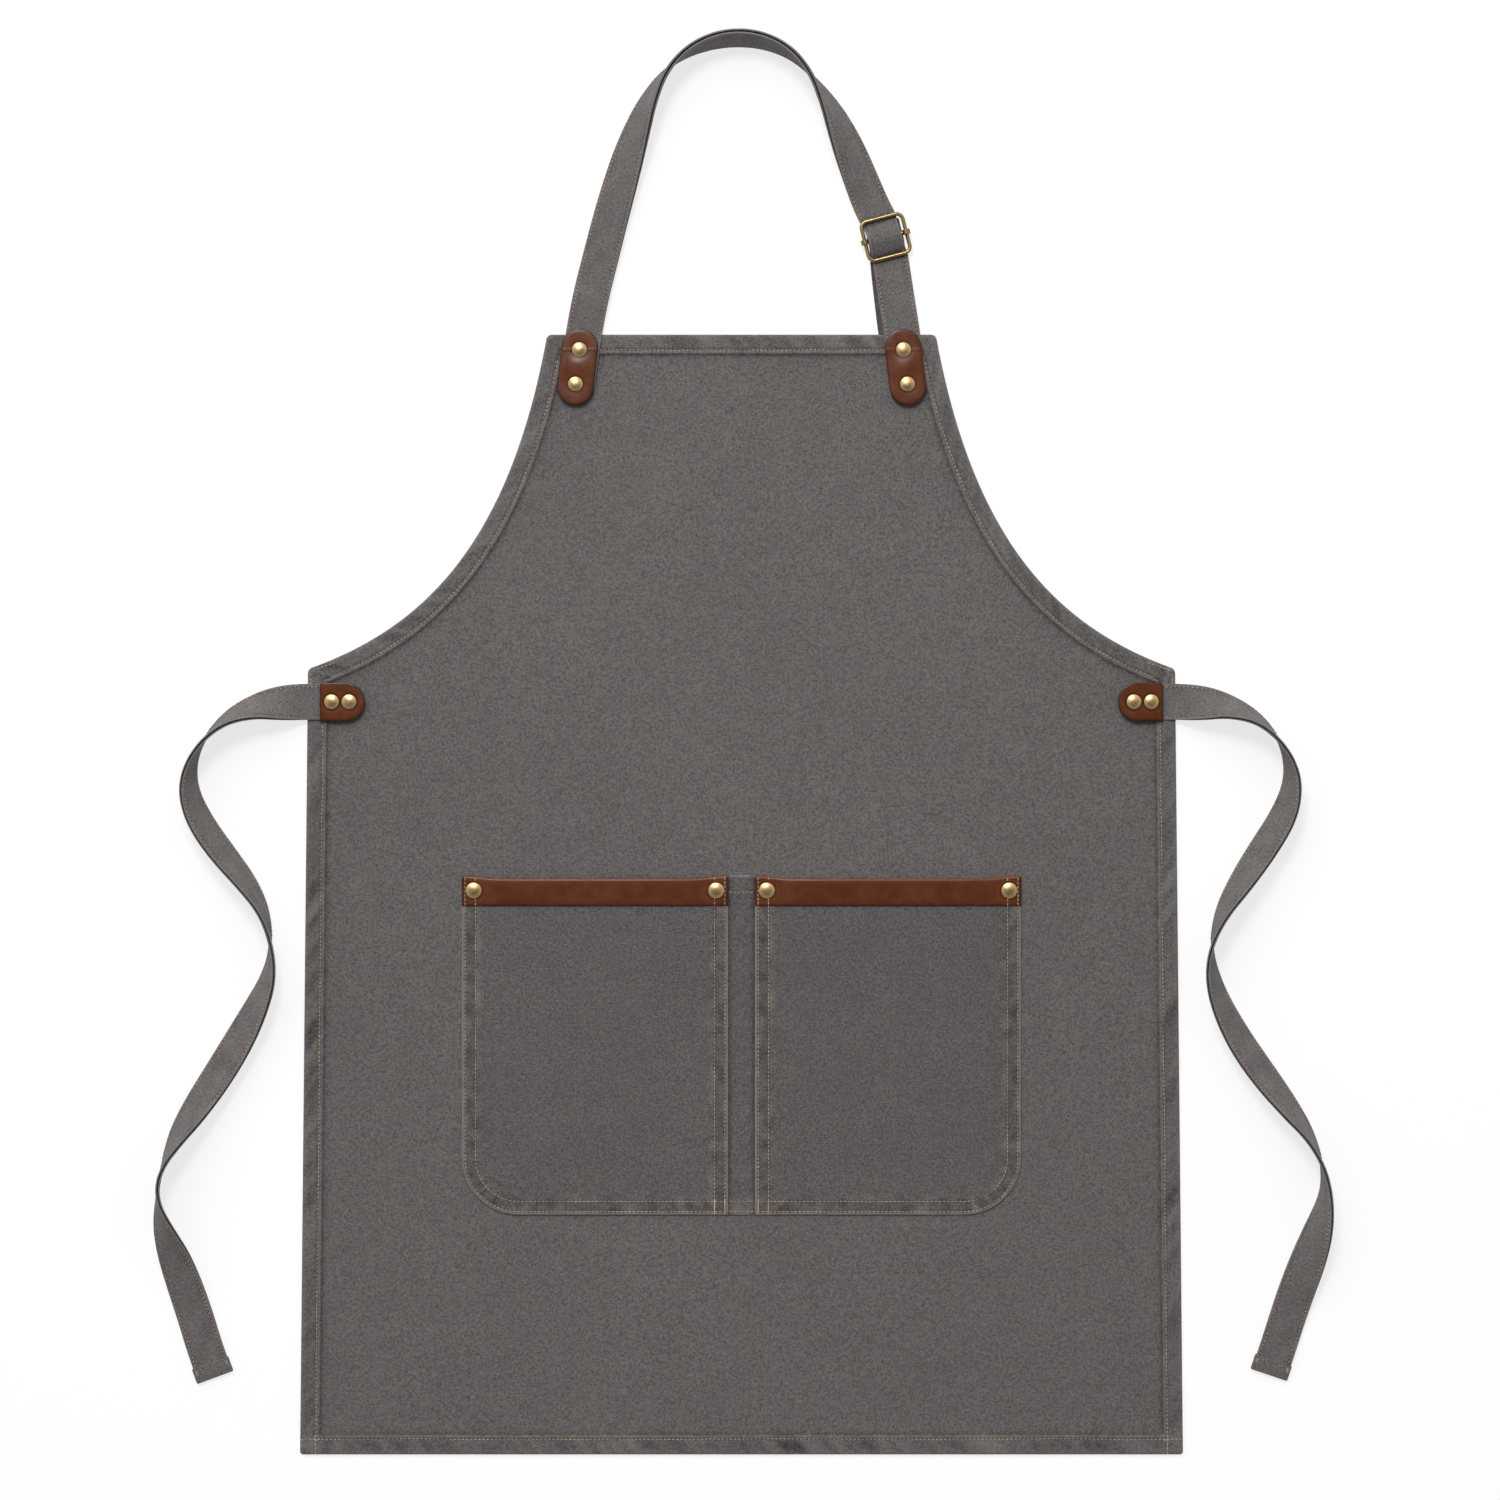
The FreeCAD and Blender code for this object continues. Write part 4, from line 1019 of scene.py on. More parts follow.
@dataclass
class Pocket:
    """One patch pocket with its leather-bound mouth and its two rows of stitching."""

    finishes: Finishes
    hand: Hand
    inner: float = 10.4 * MM
    outer: float = 216.9 * MM
    bottom: float = 185.9 * MM
    top: float = 447.9 * MM
    corner: float = 44.0 * MM
    margin_top: float = 2.5 * MM
    mouth_dip: float = 2.2 * MM
    rivet_drop: float = 10.2 * MM
    rivet_inset: float = 9.2 * MM

    def outline(self, top: float) -> list[Side]:
        """Straight-sided outline, anticlockwise, its first side the bottom."""
        low, high = sorted((self.hand.value * self.inner, self.hand.value * self.outer))
        return oblong(low, high, self.bottom, top)

    def rise(self, x: float, y: float) -> float:
        """How far the cloth stands off its sewn margin: most at the middle of the mouth."""
        reach = abs(x) - self.inner, self.outer - abs(x), y - BODY_LOW.y - self.bottom
        away = smooth((min(reach) - 11 * MM) / (34 * MM))
        mouth = smooth((y - BODY_LOW.y - self.top + 95 * MM) / (95 * MM))
        slack = 0.16 * ripple(x / 0.045, y / 0.06, 21.0 + self.hand.value)
        return away * (0.35 + 1.45 * mouth + slack) * MM

    def top_face(self, spot: Spot) -> float:
        """Height of the pocket's outer face."""
        level = self.margin_top
        if spot.side != 2:
            level = graded(spot.inset / MM, [
                (0, 1.75), (0.25, 2.2), (0.8, 2.45), (1.6, 2.5), (2.1, 2.34), (2.5, 2.22), (2.9, 2.34),
                (3.5, 2.52), (6.5, 2.62), (9.4, 2.5), (10.1, 2.26), (10.5, 2.16), (10.9, 2.26),
                (11.7, 2.5), (13.5, 2.52), (17, 2.46)]) * MM
        pucker = 0.22 * MM * ripple(spot.run / (7 * MM), spot.inset / (12 * MM), 31.0)
        seam = graded(spot.inset / MM, [(0, 0.3), (3, 0.3), (6.5, 1.0), (10, 0.3), (13.5, 0.6),
                                        (16.9, 0.0)])
        return level + pucker * seam + self.rise(spot.x, spot.y)

    def under_face(self, spot: Spot) -> float:
        """Height of the pocket's inner face."""
        return 1.02 * MM + self.rise(spot.x, spot.y) * 0.96 if spot.inset < 13 * MM else (
            1.5 * MM + self.rise(spot.x, spot.y))

    def wear_and_shading(self, spot: Spot) -> float:
        """Painted highlight along the folded edge, painted shade in the seam grooves, faint shading between
        them.
        """
        if spot.side == 2:
            return 0.5
        level = graded(spot.inset / MM, [
            (0, 0.96), (0.25, 1.0), (0.8, 1.0), (1.6, 0.64), (2.5, 0.24), (3.5, 0.48), (6.5, 0.44),
            (9.4, 0.42), (10.5, 0.26), (11.7, 0.56), (13.5, 0.54), (17, 0.5)])
        rope = ripple(spot.run / (8 * MM), spot.inset / (9 * MM), 33.0)
        inside = graded(spot.inset / MM, [(0, 1.0), (12, 1.0), (16.9, 0.0)])
        return held(level + 0.20 * rope * inside)

    def cloth(self) -> bpy.types.Object:
        """The canvas patch."""
        insets = [i * MM for i in (0, 0.25, 0.8, 1.6, 2.1, 2.5, 2.9, 3.5, 5.0, 6.5, 8.0, 9.4, 10.1,
                                   10.5, 10.9, 11.7, 13.5, 17.0)]
        fillets = [0.8 * MM, self.corner, 0.5 * MM, 0.5 * MM]
        if self.hand is Hand.LEFT:
            fillets = [self.corner, 0.8 * MM, 0.5 * MM, 0.5 * MM]
        panel = LaidPanel(self.outline(self.top - 1.2 * MM - self.mouth_dip), fillets, insets, 3.0 * MM,
                          5.0 * MM)
        return panel.build(f"pocket_cloth_{self.hand.word}", self.finishes.pocket, self.top_face,
                           self.under_face, self.wear_and_shading)

    def trim_sag(self, x: float) -> float:
        """How far the mouth's edge dips at a place across the pocket."""
        share = (abs(x) - self.inner) / (self.outer - self.inner)
        return self.mouth_dip * smooth(min(share, 1 - share) * 7)

    def trim_top(self, spot: Spot) -> float:
        """Outer face of the leather, rolled over at the mouth and cut square elsewhere."""
        plump = 1.3 * MM if spot.side == 2 else 0.45 * MM
        drop = plump * rim_drop(spot.inset, plump)
        pinch = sum(0.55 * MM * math.exp(-((spot.x - r.x) ** 2 + (spot.y - r.y) ** 2) / (9 * MM) ** 2)
                    for r in self.rivets())
        puff = 0.35 * MM * smooth(spot.inset / (6 * MM))
        return self.margin_top + TRIM_LEATHER + puff - pinch * 0.6 + self.rise(spot.x, spot.y) - drop

    def trim_under(self, spot: Spot) -> float:
        """Inner face: on the cloth, and round behind it at the mouth."""
        behind = smooth((spot.y - BODY_LOW.y - self.top + 9 * MM) / (1.5 * MM))
        face = self.margin_top + self.rise(spot.x, spot.y) - 0.1 * MM
        turned = max(1.0 * MM, face - 1.7 * MM)
        level = face + (turned - face) * behind
        if spot.side == 2:
            level += TRIM_LEATHER * rim_drop(spot.inset, 1.3 * MM)
        return min(level, self.trim_top(spot) - 0.2 * MM)

    def trim_wear_and_shading(self, spot: Spot) -> float:
        """Dark edges, partly burnished and partly painted shadow, a pale line along the mouth, partly
        rubbing and partly painted highlight, and painted shade round the rivets.
        """
        near = min((Vector((spot.x, spot.y)) - r.xy).length for r in self.rivets()) / MM
        # painted shade in the dip round each rivet, with a painted highlight on its rim
        ring = graded(near, [(5.8, -0.34), (7.2, -0.20), (8.3, 0.12), (9.5, 0.04), (12, 0.0)])
        # the rolled mouth gets a painted highlight; the other edges are dark, partly burnished and partly
        # painted shadow
        if spot.side == 2:
            edge = graded(spot.inset / MM, [(0, 0.30), (0.5, 0.85), (1.3, 0.80), (2.2, 0.42), (3.5, 0.5)])
        else:
            edge = graded(spot.inset / MM, [(0, 0.05), (0.5, 0.16), (1.2, 0.36), (2.4, 0.5)])
        return held(edge + ring)

    def rivets(self) -> list[Vector]:
        """Centres of the two trim rivets."""
        height = self.top - self.rivet_drop
        ends = (self.inner + self.rivet_inset, self.outer - self.rivet_inset)
        return [at(self.hand.value * x, height) for x in ends]

    def trim(self) -> bpy.types.Object:
        """The leather binding of the mouth."""
        low, high = sorted((self.hand.value * self.inner, self.hand.value * self.outer))
        base, top = self.top - TRIM_HEIGHT, self.top + TRIM_LEATHER
        sides = oblong(low, high, base, top)
        insets = [i * MM for i in (0, 0.1, 0.3, 0.6, 1.0, 1.5, 2.3, 3.4)]
        panel = LaidPanel(sides, [0.5 * MM] * 4, insets, 2.0 * MM, 1.8 * MM, 6.0 * MM)
        piece = panel.build(f"pocket_binding_{self.hand.word}", self.finishes.trim, self.trim_top,
                            self.trim_under, self.trim_wear_and_shading)
        for vertex in piece.data.vertices:
            height = vertex.co.y - BODY_LOW.y
            share = smooth((height - base) / (top - base))
            vertex.co.y -= share * self.trim_sag(vertex.co.x)
        return piece

    def seam_z(self, x: float, height: float) -> float:
        """Height of a stitch on the cloth or on the leather."""
        share = smooth((height - self.top + TRIM_HEIGHT + 0.6 * MM) / (1.2 * MM))
        return 2.36 * MM + share * 1.42 * MM + self.rise(x, BODY_LOW.y + height)

    def seam_rows(self, inset: float) -> list[list[Vector]]:
        """The stitch lines at one inset: the inner seam, and the bottom, bend and outer seam."""
        sign = self.hand.value
        top = self.top + 0.6 * MM
        inner = [(self.inner + inset, top - n * (top - self.bottom - 1.0 * MM) / 60) for n in range(61)]
        radius = self.corner - inset
        bend_x, bend_height = self.outer - self.corner, self.bottom + self.corner
        outer = [(self.inner + 1.2 * MM + n * (bend_x - self.inner) / 40, self.bottom + inset)
                 for n in range(40)]
        for n in range(13):
            angle = math.radians(7.5 * n)
            outer.append((bend_x + radius * math.sin(angle), bend_height - radius * math.cos(angle)))
        outer += [(self.outer - inset, bend_height + n * (top - bend_height) / 60) for n in range(1, 61)]
        return [[at(sign * x, h, self.seam_z(x, h)) for x, h in row] for row in (inner, outer)]

    def stitches(self) -> bpy.types.Object:
        """Both rows, left open where a rivet covers them, with bar tacks at the foot of the inner seam."""
        seam, stitch = Seam(), Stitch()
        covered = 6.6 * MM
        for inset in POCKET_STITCH_INSETS:
            for row in self.seam_rows(inset):
                for spot, heading in spaced(row, STITCH_PITCH):
                    if min((spot.xy - r.xy).length for r in self.rivets()) > covered:
                        seam.sew(stitch, spot, heading, UP)
        tack = Stitch(3.4 * MM, 1.0 * MM, 0.8 * MM)
        for inset in POCKET_STITCH_INSETS:
            for n in range(6):
                spot = at(self.hand.value * (self.inner + inset), self.bottom + (1.4 + 1.9 * n) * MM,
                          2.78 * MM)
                seam.sew(tack, spot, Vector((0.15, 1, 0)).normalized(), UP)
        return seam.made(f"pocket_stitches_{self.hand.word}", self.finishes.thread)

    def build(self) -> list[bpy.types.Object]:
        """Make the pocket's pieces."""
        word = self.hand.word
        pieces = [self.cloth(), self.trim(), self.stitches()]
        for piece, node, slot in zip(pieces, ("pocket_panel", "pocket_trim", "pocket_thread"),
                                     ("pocket_canvas", "trim_leather", "stitch_thread")):
            settled(piece, f"{node}_{word}", slot)
        return pieces


@dataclass
class PenSlot:
    """Narrow recessed strip between the pockets, with a folded mouth."""

    finishes: Finishes
    half_width: float = 10.4 * MM
    bottom: float = 185.9 * MM
    top: float = 449.5 * MM
    hem: float = 13.2 * MM

    def top_face(self, spot: Spot) -> float:
        """Height of the strip: thicker where its mouth is folded, with a groove at the seam."""
        below = (BODY_LOW.y + self.top - spot.y) / MM
        level = graded(below, [(0, 1.5), (0.3, 2.0), (0.9, 2.3), (2.5, 2.36), (12, 2.32), (12.9, 2.1),
                               (13.6, 2.1), (14.6, 2.2), (16, 1.86), (30, 1.8)])
        return (level + 0.05 * ripple(spot.x / 0.006, spot.y / 0.012, 41.0)) * MM

    def under_face(self, spot: Spot) -> float:
        """Underside, on the body's cloth."""
        return 1.02 * MM

    def wear_and_shading(self, spot: Spot) -> float:
        """Painted highlight on the fold at the mouth, painted shade in its seam's groove, painted shadow of
        the pockets along its sides, and lighter near its foot.
        """
        below = (BODY_LOW.y + self.top - spot.y) / MM
        # painted highlight on the fold at the mouth, painted shade in the seam's groove below it
        fold = graded(below, [(0, 0.8), (0.6, 0.84), (1.6, 0.5), (12, 0.47), (13.2, 0.3), (14.8, 0.58),
                              (16.2, 0.4), (19, 0.5)])
        inside = (self.half_width - abs(spot.x)) / MM
        # painted shadow of the pockets along both sides
        side = graded(inside, [(0, -0.32), (1.2, -0.24), (3.2, -0.05), (5, 0)])
        above = (spot.y - BODY_LOW.y - self.bottom) / MM
        foot = graded(above, [(0, 0.24), (6, 0.12), (14, 0.08), (17, 0)])
        return held(fold + side + foot)

    def build(self) -> list[bpy.types.Object]:
        """Make the strip and its stitching."""
        sides = oblong(-self.half_width, self.half_width, self.bottom, self.top)
        insets = [i * MM for i in (0, 0.25, 0.8, 1.6, 3.0)]
        panel = LaidPanel(sides, [0.3 * MM] * 4, insets, 2.5 * MM, 1.6 * MM, 8.0 * MM)
        strip = panel.build("pen_slot_cloth", self.finishes.pocket, self.top_face, self.under_face,
                            self.wear_and_shading)
        seam = Seam()
        reach = self.half_width - 0.6 * MM
        heights = [(self.top - self.hem, 2.24 * MM)]
        heights += [(self.bottom + inset, 1.98 * MM) for inset in POCKET_STITCH_INSETS]
        for height, z in heights:
            seam.sew_row(Stitch(), [at(-reach, height, z), at(reach, height, z)])
        settled(strip, "pen_slot_panel", "pocket_canvas")
        rows = settled(seam.made("pen_slot_stitches", self.finishes.thread), "pen_slot_thread",
                       "stitch_thread")
        return [strip, rows]


# ---------------------------------------------------------------- leather tabs

@dataclass
class Tab:
    """A riveted leather tab over a strap's end."""

    finishes: Finishes
    node: str
    sides: list[Side]
    fillets: list[float]
    rivets: list[Vector]
    hem_line: float = 1.0

    def top(self, spot: Spot) -> float:
        """Front face: rounded rim, pulled flat at the rivets and plump between them."""
        rim = 0.8 * MM
        drop = rim * rim_drop(spot.inset, rim)
        place = Vector((spot.x, spot.y))
        near = min((place - r.xy).length for r in self.rivets)
        middle = (self.rivets[0] + self.rivets[1]) / 2
        gap = (self.rivets[0] - self.rivets[1]).length
        plump = math.exp(-((place - middle.xy).length / (0.30 * gap)) ** 2) if gap > 20 * MM else 0.0
        away = smooth((near - 5.4 * MM) / (5 * MM))
        shore = smooth(spot.inset / (5 * MM))
        ridge = math.exp(-((spot.y - self.hem_line) / (0.55 * MM)) ** 2) * 0.14
        return TAB_TOP + (0.10 + 0.25 * away * shore + 1.25 * plump * shore + ridge) * MM - drop

    def under(self, spot: Spot) -> float:
        """Back face, flat on the strap, with a rounded edge."""
        short = max(0.0, 1 - spot.inset / (0.4 * MM))
        return TAB_SEAT + 0.05 * MM + 0.3 * MM * short

    def wear_and_shading(self, spot: Spot) -> float:
        """Burnished edge, painted shade in the ring where each rivet presses in, and painted highlights
        beside it and on the hem's ridge.
        """
        near = min((Vector((spot.x, spot.y)) - r.xy).length for r in self.rivets) / MM
        # painted shade in the ring where each rivet presses in, with a painted highlight just beyond it
        ring = graded(near, [(5.6, -0.42), (6.6, -0.26), (7.6, 0.06), (9.0, 0.03), (11, 0.0)])
        edge = graded(spot.inset / MM, [(0, 0.02), (0.5, 0.10), (1.1, 0.34), (2.0, 0.48), (3.2, 0.52),
                                        (5, 0.5)])
        # painted highlight on the hem's ridge that shows through
        ridge = 0.16 * math.exp(-((spot.y - self.hem_line) / (0.6 * MM)) ** 2)
        return held(edge + ring + ridge)

    def build(self) -> bpy.types.Object:
        """Make the tab."""
        insets = [i * MM for i in (0, 0.12, 0.35, 0.7, 1.1, 1.8, 2.8)]
        panel = LaidPanel(self.sides, self.fillets, insets, 0.9 * MM, 1.0 * MM, 6.0 * MM)
        piece = panel.build(f"leather_{self.node}", self.finishes.tab, self.top, self.under, self.wear_and_shading)
        return settled(piece, self.node, "tab_leather")


def neck_tab(finishes: Finishes, hand: Hand) -> Tab:
    """Stadium-shaped tab at a top corner of the bib.

    Args:
        finishes: the materials.
        hand: which corner.

    Returns:
        The tab, ready to build.
    """
    centre, radius, half = at(hand.value * 127.1 * MM, 843.5 * MM), 14.25 * MM, 15.25 * MM
    rivet_reach = 13.4 * MM
    turn = Matrix.Rotation(math.radians(6.5) * hand.value, 4, "Z")
    up, right = Vector((0, half, 0)), Vector((radius, 0, 0))
    flat = [Side((right - up, right + up)), quarter(up, radius, 0), quarter(up, radius, math.pi / 2),
            Side((up - right, -up - right)), quarter(-up, radius, math.pi),
            quarter(-up, radius, 1.5 * math.pi)]
    sides = [Side(tuple(centre + turn @ h for h in side.handles)) for side in flat]
    rivets = [centre + turn @ Vector((0, sign * rivet_reach, 0)) for sign in (-1, 1)]
    return Tab(finishes, f"neck_tab_{hand.word}", sides, [0.0] * 6, rivets,
               BODY_HIGH.y - HEM_STITCH_INSET)


def waist_tab(finishes: Finishes, hand: Hand) -> Tab:
    """Tab at the waist: square outside, round inside.

    Args:
        finishes: the materials.
        hand: which side of the apron.

    Returns:
        The tab, ready to build.
    """
    radius, outer, height, length = 14.75 * MM, 326.8 * MM, 584.0 * MM, 35.0 * MM
    first_rivet, rivet_gap = 9.2 * MM, 13.5 * MM
    bend = outer - length + radius
    up = Vector((0, radius, 0))
    edge, middle = at(outer, height), at(bend, height)
    flat = [Side((edge - up, edge + up)), Side((edge + up, middle + up)),
            quarter(middle, radius, math.pi / 2), quarter(middle, radius, math.pi),
            Side((middle - up, edge - up))]
    fillets = [2.2 * MM, 2.2 * MM, 0.0, 0.0, 0.0]
    if hand is Hand.LEFT:
        mirror = Matrix.Scale(-1, 4, (1, 0, 0))
        flat = [Side(tuple(mirror @ h for h in reversed(side.handles))) for side in reversed(flat)]
        fillets = [0.0, 0.0, 0.0, 2.2 * MM, 2.2 * MM]
    rivets = [at(hand.value * (outer - first_rivet - n * rivet_gap), height) for n in range(2)]
    return Tab(finishes, f"waist_tab_{hand.word}", flat, fillets, rivets)


# ---------------------------------------------------------------- rivets

@dataclass
class RivetCaps:
    """The domed caps of one place's two rivets, with a rolled rim."""

    finishes: Finishes
    node: str
    centres: list[Vector]
    radius: float
    seat: float
    height: float = 2.2 * MM
    rim: float = 0.55 * MM
    dome: float = 1.15 * MM

    def build(self) -> bpy.types.Object:
        """Turn one cap's profile on its axis, for each rivet."""
        bm = bmesh.new()
        crown, rim = self.seat + self.height, self.rim
        profile = [(0.0, crown)]
        for n in range(1, 10):
            out = (self.radius - rim) * n / 9
            profile.append((out, crown - self.dome * (n / 9) ** 2.4))
        for n in range(1, 8):
            angle = math.radians(62 - 22 * n)
            profile.append((self.radius - rim + rim * math.cos(angle),
                            self.seat + rim + rim * math.sin(angle)))
        profile.append((self.radius - 2 * rim, self.seat + 0.02 * MM))
        profile.append((0.0, self.seat + 0.02 * MM))
        for centre in self.centres:
            ring = [bm.verts.new((centre.x + out, centre.y, z)) for out, z in profile]
            edges = [bm.edges.new(pair) for pair in zip(ring, ring[1:])]
            bmesh.ops.spin(bm, geom=[*ring, *edges], cent=(centre.x, centre.y, 0), axis=(0, 0, 1),
                           angle=2 * math.pi, steps=36, use_merge=True)
        bmesh.ops.remove_doubles(bm, verts=bm.verts[:], dist=0.005 * MM)
        bmesh.ops.recalc_face_normals(bm, faces=bm.faces[:])
        piece = finished(bm, f"brass_{self.node}", self.finishes.rivet)
        return settled(piece, self.node, "rivet_brass")


# ---------------------------------------------------------------- straps

RoutePoint = tuple[float, float, float, float]

# Each point is x, height, height of the lower edge above the table, and roll in degrees.
NECK_ROUTE: list[RoutePoint] = [
    (-0.1284, 0.8261, 0.0024, 0), (-0.1252, 0.8505, 0.0024, 0), (-0.1212, 0.8760, 0.0024, 0),
    (-0.1160, 0.9021, 0.0020, 0), (-0.1090, 0.9300, 0, 4), (-0.1012, 0.9607, 0, 11),
    (-0.0925, 0.9911, 0, 21), (-0.0831, 1.0215, 0, 39), (-0.0729, 1.0487, 0, 60),
    (-0.0597, 1.0716, 0, 78), (-0.0397, 1.0877, 0, 94), (-0.0150, 1.0962, 0, 104),
    (0.0113, 1.0962, 0, 104), (0.0359, 1.0869, 0, 96), (0.0544, 1.0691, 0, 84), (0.0676, 1.0478, 0, 62),
    (0.0777, 1.0260, 0, 41), (0.0863, 1.0050, 0, 24), (0.0946, 0.9839, 0.0006, 11),
    (0.1017, 0.9666, 0.0019, 0), (0.1076, 0.9564, 0.0019, 0), (0.1150, 0.9292, 0.0019, 0),
]
NECK_END_ROUTE: list[RoutePoint] = [
    (0.1152, 0.9297, 0.0018, 0), (0.1178, 0.9126, 0.0019, 0), (0.1207, 0.8936, 0.0024, 0),
    (0.1240, 0.8734, 0.0024, 0), (0.1266, 0.8525, 0.0024, 0), (0.1292, 0.8261, 0.0024, 0),
]
LEFT_TIE_ROUTE: list[RoutePoint] = [
    (-0.3025, 0.5840, 0.0024, 0), (-0.3220, 0.5842, 0.0024, 0), (-0.3410, 0.5840, 0.0024, 0),
    (-0.3573, 0.5831, 0.0024, 23), (-0.3766, 0.5807, 0.0006, 49), (-0.3979, 0.5722, 0, 69),
    (-0.4148, 0.5567, 0, 83), (-0.4256, 0.5360, 0, 97), (-0.4273, 0.5143, 0, 113),
    (-0.4183, 0.4911, 0, 126), (-0.4013, 0.4672, 0, 126), (-0.3826, 0.4448, 0, 116),
    (-0.3684, 0.4217, 0, 98), (-0.3631, 0.3962, 0, 82), (-0.3649, 0.3714, 0, 63),
    (-0.3753, 0.3473, 0, 45), (-0.3895, 0.3208, 0, 31), (-0.4066, 0.2929, 0, 30),
    (-0.4233, 0.2683, 0, 40), (-0.4382, 0.2456, 0, 61), (-0.4487, 0.2226, 0, 85),
    (-0.4519, 0.2009, 0, 82), (-0.4470, 0.1758, 0, 49), (-0.4366, 0.1454, 0, 14),
    (-0.4249, 0.1106, 0, 0), (-0.4156, 0.0795, 0, 0), (-0.4085, 0.0605, 0, 0),
]
RIGHT_TIE_ROUTE: list[RoutePoint] = [
    (0.3025, 0.5840, 0.0024, 0), (0.3220, 0.5842, 0.0024, 0), (0.3410, 0.5840, 0.0024, 0),
    (0.3574, 0.5831, 0.0024, 23), (0.3758, 0.5811, 0.0006, 49), (0.3973, 0.5730, 0, 69),
    (0.4134, 0.5582, 0, 81), (0.4233, 0.5389, 0, 96), (0.4258, 0.5189, 0, 111),
    (0.4192, 0.4957, 0, 128), (0.4038, 0.4709, 0, 132), (0.3866, 0.4455, 0, 124),
    (0.3709, 0.4209, 0, 104), (0.3631, 0.3969, 0, 84), (0.3633, 0.3738, 0, 65), (0.3713, 0.3490, 0, 51),
    (0.3862, 0.3209, 0, 40), (0.4047, 0.2946, 0, 40), (0.4237, 0.2701, 0, 53), (0.4397, 0.2488, 0, 71),
    (0.4496, 0.2257, 0, 85), (0.4520, 0.2025, 0, 98), (0.4469, 0.1775, 0, 127),
    (0.4378, 0.1488, 0, 156), (0.4264, 0.1152, 0, 180), (0.4156, 0.0811, 0, 180),
    (0.4093, 0.0625, 0, 180),
]


@dataclass(frozen=True)
class Station:
    """One cross-section's frame: its centre, travel, edge and face directions, and its run."""

    centre: Vector
    ahead: Vector
    edge: Vector
    face: Vector
    run: float
    body: float
    full: float


@dataclass
class Strap:
    """Folded canvas strap swept along its route, with its open edge on the far side of its section.

    pinched gives how much the strap is pressed thin, from 0 to 1, at a run out of its total.
    """

    finishes: Finishes
    name: str
    route: list[RoutePoint]
    hand: Hand
    pinched: Callable[[float, float], float]
    humped: bool = False
    lip: float = 0.5 * MM
    steps_per_run: int = 9
    swell: float = 0.35 * MM
    bar_crest: float = 9.4 * MM

    def stations(self) -> list[Station]:
        """Cross-section frames along the strap's smooth line."""
        plan = smooth_line([at(x, h) for x, h, _, _ in self.route], self.steps_per_run)
        turns = smooth_line([Vector((math.radians(r), b, 0)) for _, _, b, r in self.route],
                            self.steps_per_run)
        total = sum((b - a).length for a, b in zip(plan, plan[1:]))
        centres, run = [], 0.0
        for n, (spot, (roll, base, _)) in enumerate(zip(plan, turns)):
            run += (spot - plan[n - 1]).length if n else 0.0
            press = self.pinched(run, total)
            half = STRAP_HALF_THICKNESS + (1 - press) * self.swell
            deepest = half + (1 - press) * self.lip
            rise = STRAP_HALF_WIDTH * abs(math.sin(roll)) + deepest * abs(math.cos(roll))
            lift = self.hump(spot)
            z = (max(0.0, base) + rise) * (1 - lift) + self.bar_crest * lift
            centres.append((Vector((spot.x, spot.y, z)), roll, half, 1 - press, lift, run))
        made = []
        for n, (centre, roll, half, free, lift, run) in enumerate(centres):
            ahead = centres[min(n + 1, len(centres) - 1)][0] - centres[max(n - 1, 0)][0]
            ahead.normalize()
            flat = Vector((ahead.x, ahead.y, 0)).normalized()
            level = Vector((flat.y, -flat.x, 0)) * self.hand.value
            edge = level * math.cos(roll) + Vector((0, 0, math.sin(roll)))
            edge = (edge - ahead * edge.dot(ahead)).normalized()
            face = edge.cross(ahead).normalized()
            width = 1.0 - 0.07 * min(1.0, 2 * lift)
            made.append(Station(centre, ahead, edge * width, face, run, half, free))
        return made

    def hump(self, spot: Vector) -> float:
        """Share of the rise over the slider's bar."""
        if not self.humped:
            return 0.0
        away = (spot.xy - SLIDER_CENTRE.xy).length
        return smooth((13.2 * MM - away) / (10.2 * MM))

    def section(self, station: Station) -> list[tuple[float, float]]:
        """Closed cross-section as (across, out) offsets: grooved seams, and two lips at the open edge."""
        h = station.body
        lip = h + station.full * self.lip
        seam = 0.80 * h
        upper = [
            (-14.0, 0.0), (-13.85, 0.5 * h), (-13.35, 0.9 * h), (-12.4, h), (-11.9, 0.95 * h),
            (-11.6, seam), (-11.3, 0.95 * h), (-10.4, h), (-5.5, 1.02 * h), (0.0, h), (5.5, 1.02 * h),
            (9.6, h + 0.10 * (lip - h)), (10.7, h + 0.32 * (lip - h)), (11.2, h + 0.30 * (lip - h)),
            (11.5, seam + 0.30 * (lip - h)), (11.8, h + 0.45 * (lip - h)), (12.6, h + 0.85 * (lip - h)),
            (13.3, lip), (13.8, 0.90 * lip), (14.0, 0.66 * lip), (13.95, 0.40 * lip), (13.75, 0.25 * lip),
            (12.6, 0.16 * lip), (11.0, 0.06 * lip),
        ]
        lower = [(across, -out) for across, out in reversed(upper[1:])]
        return [(across * MM, out) for across, out in upper + lower]

    def ribbon(self, stations: list[Station], bm: bmesh.types.BMesh) -> None:
        """Sweep the section through the stations as a closed tube with UVs in metres."""
        outline = [Vector(point) for point in self.section(stations[len(stations) // 2])]
        around = [0.0]
        for here, there in zip(outline, outline[1:] + outline[:1]):
            around.append(around[-1] + (there - here).length)

        def place(n: int, index: int) -> tuple[Vector, float]:
            """Position and shading value of one point."""
            station = stations[n]
            across, out = self.section(station)[index]
            crease = 0.08 * MM * ripple(station.run / (11 * MM), across / (14 * MM), 51.0)
            out += math.copysign(crease, out) * station.full if out else 0.0
            spot = station.centre + station.edge * across + station.face * out
            return spot, self.wear_and_shading(across / MM, out / MM, station)

